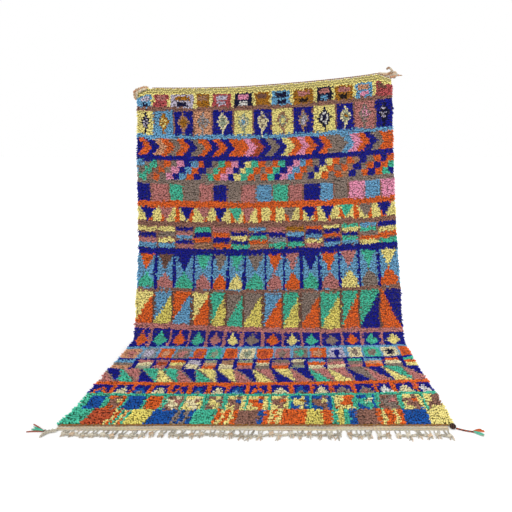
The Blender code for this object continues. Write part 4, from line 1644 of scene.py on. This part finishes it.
class FrontCorners:
    """The plait, tassels and knot at the two front corners, lying on the floor.

    All places are metres to the right of the front edge's middle and forward of it. The plait's rows add its
    width and height, and so does the fan's head. The dark knot adds the height of its middle.
    """

    PLAIT = (
        (-0.9330, 0.0492, 0.017, 0.010), (-0.9470, 0.0522, 0.022, 0.015), (-0.9610, 0.0552, 0.019, 0.012),
        (-0.9730, 0.0642, 0.022, 0.014), (-0.9815, 0.0802, 0.017, 0.011), (-0.9870, 0.1002, 0.008, 0.006),
    )
    FAN_HEAD = (-0.9869, 0.0516, 0.016, 0.010)
    FAN_CORDS = (((-1.030, 0.0187), (-1.072, -0.0108)), ((-1.031, 0.0502), (-1.0725, 0.0542)))
    FAN_GREEN = (((-1.030, 0.0292), (-1.066, 0.0112)), ((-1.031, 0.0397), (-1.068, 0.0322)))
    DARK_KNOT = (0.9380, 0.0184, 0.0096)
    DARK_SIZE = (0.015, 0.017, 0.012)
    TAG = ((0.9515, 0.0262), (0.9740, 0.0385), (1.0000, 0.0490), (1.0240, 0.0560))
    TAG_ORANGE = ((1.0240, 0.0560), (1.0560, 0.0430), (1.0820, 0.0440))
    TAG_GREEN = ((1.0240, 0.0560), (1.0480, 0.0720), (1.0700, 0.0880))

    def build(self) -> None:
        """Makes all four pieces."""
        self.plait()
        self.fan()
        self.dark_knot()
        self.tag()

    def plait(self) -> None:
        """The undyed plait at the left corner, with its loose end."""
        mesh = YarnMesh(51)
        points = np.array([on_floor(x, y, h / 2 + 0.001) for x, y, _, h in self.PLAIT])
        lengths = travelled(points)
        line = resample(points, 0.003)
        width = Curve(lengths, [row[2] for row in self.PLAIT])(np.linspace(0, lengths[-1], len(line)))
        Plait(0.022, 0.015, 0.040, ("cream", "cream", "cream"), (0, 0, 1)).lay(mesh, line, width / 0.022)
        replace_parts(mesh.finish("front_left_plait_yarns", WARP_WOOL), "front_left_plait")

    def tuft(
        self, mesh: YarnMesh, path: Sequence[Sequence[float]], count: int, spread: float, names: Sequence[str]
    ) -> None:
        """Loose yarns from a root along the floor, spreading to their ends."""
        places = np.array(path)
        side = unit(np.array([[places[-1][1] - places[0][1], places[0][0] - places[-1][0]]]))[0]
        for k in range(count):
            aside = (k / (count - 1) - 0.5) * spread + mesh.rng.uniform(-0.001, 0.001)
            points = []
            for i, place in enumerate(places):
                share = i / (len(places) - 1)
                at = place + side * aside * min(1, 0.25 + share)
                high = 0.0022 + 0.0042 * (1 - share) + 0.0022 * ((k * 7) % 3) / 2
                points.append(on_floor(at[0], at[1], high))
            line = resample(points, 0.006)
            line = line[: max(4, int(len(line) * mesh.rng.uniform(0.72, 1.0)))]
            mesh.strand(line, np.linspace(0.0014, 0.0022, len(line)), names[k % len(names)], sides=5)

    def fan(self) -> None:
        """The fan tassel: two twined cords with green yarn between them."""
        mesh = YarnMesh(52)
        x, y, wide, high = self.FAN_HEAD
        wind(mesh, on_floor(x, y, high / 2 + 0.001), (wide / 2, wide / 2, high / 2), 6, "brown")
        for near, far in self.FAN_CORDS:
            root = on_floor(x - 0.004, y, 0.0045)
            line = resample((root, on_floor(*near, 0.0036), on_floor(*far, 0.0034)), 0.003)
            Twine(0.0032, 0.014, ("brown", "rust")).lay(mesh, line)
        for near, far in self.FAN_GREEN:
            self.tuft(mesh, ((x - 0.004, y), near, far), 6, 0.012, ("green", "sage", "green"))
        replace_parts(mesh.finish("front_left_tassel_yarns", TASSEL_WOOL), "front_left_tassel")

    def dark_knot(self) -> None:
        """The wound knot of dark yarn at the right corner."""
        mesh = YarnMesh(53)
        right, forward, up = self.DARK_KNOT
        wind(mesh, on_floor(right, forward, up + 0.0005), self.DARK_SIZE, 4, "black")
        wind(mesh, on_floor(right, forward, up), tuple(0.88 * s for s in self.DARK_SIZE), 7, "brown")
        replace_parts(mesh.finish("front_right_knot_yarns", DARK_WOOL), "front_right_knot")

    def tag(self) -> None:
        """The thin cord at the right corner with its orange and green tufts."""
        mesh = YarnMesh(54)
        line = resample([on_floor(x, y, 0.0042) for x, y in self.TAG], 0.003)
        Twine(0.0040, 0.018, ("black", "brown", "rust")).lay(mesh, line)
        x, y = self.TAG[-1]
        wind(mesh, on_floor(x, y, 0.0048), (0.005, 0.005, 0.004), 5, "rust")
        self.tuft(mesh, self.TAG_ORANGE, 14, 0.020, ("orange", "rust"))
        self.tuft(mesh, self.TAG_GREEN, 14, 0.020, ("green", "sage", "green"))
        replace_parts(mesh.finish("front_right_tassel_yarns", TASSEL_WOOL), "front_right_tassel")


@dataclass(frozen=True)
class Lamp:
    """A soft square light aimed at the rug, or without a size a far one, in watts to the square metre."""

    name: str
    place: tuple[float, float, float]
    size: float
    power: float


class Studio:
    """The pale floor, the soft light and the camera."""

    LAMPS = (
        Lamp("key", (-2.2, -4.6, 3.9), 0, 1.65),
        Lamp("fill", (3.4, -4.0, 2.6), 3.0, 80),
        Lamp("back", (1.5, 4.0, 3.2), 3.0, 70),
    )
    TARGET = Vector((0, 0.2, 0.9))
    CAMERA_RIGHT = 0.211
    CAMERA_FORWARD = 3.80
    CAMERA_HEIGHT = 1.362
    LENS = 35.86
    SHIFT = (-0.0859, -0.2227)

    def build(self) -> None:
        """Sets the stage."""
        bpy.context.scene.view_settings.view_transform = "Standard"
        self.surroundings()
        self.floor()
        for lamp in self.LAMPS:
            self.hang(lamp)
        self.camera()

    def surroundings(self) -> None:
        """An even white world."""
        world = bpy.data.worlds.new("Studio")
        world.use_nodes = True
        world.node_tree.nodes["Background"].inputs["Color"].default_value = (1.0, 1.0, 1.0, 1)
        world.node_tree.nodes["Background"].inputs["Strength"].default_value = 1.0
        bpy.context.scene.world = world

    def floor(self) -> None:
        """A wide pale floor."""
        mesh = bpy.data.meshes.new("floor")
        mesh.from_pydata([(-40, -40, 0), (40, -40, 0), (40, 40, 0), (-40, 40, 0)], [], [(0, 1, 2, 3)])
        paint = bpy.data.materials.new("Pale floor")
        paint.use_nodes = True
        shader = paint.node_tree.nodes["Principled BSDF"]
        shader.inputs["Base Color"].default_value = (0.86, 0.86, 0.86, 1)
        shader.inputs["Roughness"].default_value = 0.85
        mesh.materials.append(paint)
        floor = bpy.data.objects.new("floor", mesh)
        bpy.context.scene.collection.objects.link(floor)

    def hang(self, lamp: Lamp) -> None:
        """Hangs up one lamp and aims it at the rug."""
        light = bpy.data.lights.new(lamp.name, "AREA" if lamp.size else "SUN")
        if lamp.size:
            light.size = lamp.size
        else:
            light.angle = math.radians(35)
        light.energy = lamp.power
        shown = bpy.data.objects.new(lamp.name, light)
        shown.location = lamp.place
        shown.rotation_euler = (self.TARGET - Vector(lamp.place)).to_track_quat("-Z", "Y").to_euler()
        bpy.context.scene.collection.objects.link(shown)

    def camera(self) -> None:
        """The camera of the photo, level, with its picture shifted."""
        lens = bpy.data.cameras.new("camera")
        lens.sensor_width = 36
        lens.lens = self.LENS
        lens.shift_x, lens.shift_y = self.SHIFT
        lens.dof.use_dof = False
        camera = bpy.data.objects.new("camera", lens)
        forward = FRONT_Y + PROFILE[-1].reach - self.CAMERA_FORWARD
        camera.location = (FRONT_X + self.CAMERA_RIGHT, forward, self.CAMERA_HEIGHT)
        camera.rotation_euler = (math.radians(90), 0, 0)
        scene = bpy.context.scene
        scene.collection.objects.link(camera)
        scene.camera = camera


def main() -> None:
    """Builds the rug piece by piece, then the stage."""
    logging.basicConfig(level=logging.INFO, format="%(message)s")
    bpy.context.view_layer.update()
    drape = Drape()
    pile = Pile(drape)
    pile.build(Design(3))
    Ground(drape).build(Design(4), pile.pieces)
    EdgeCords(drape).build()
    EndFringe().build()
    TopCorners(drape).build()
    FrontCorners().build()
    Studio().build()


if __name__ == "__main__":
    main()
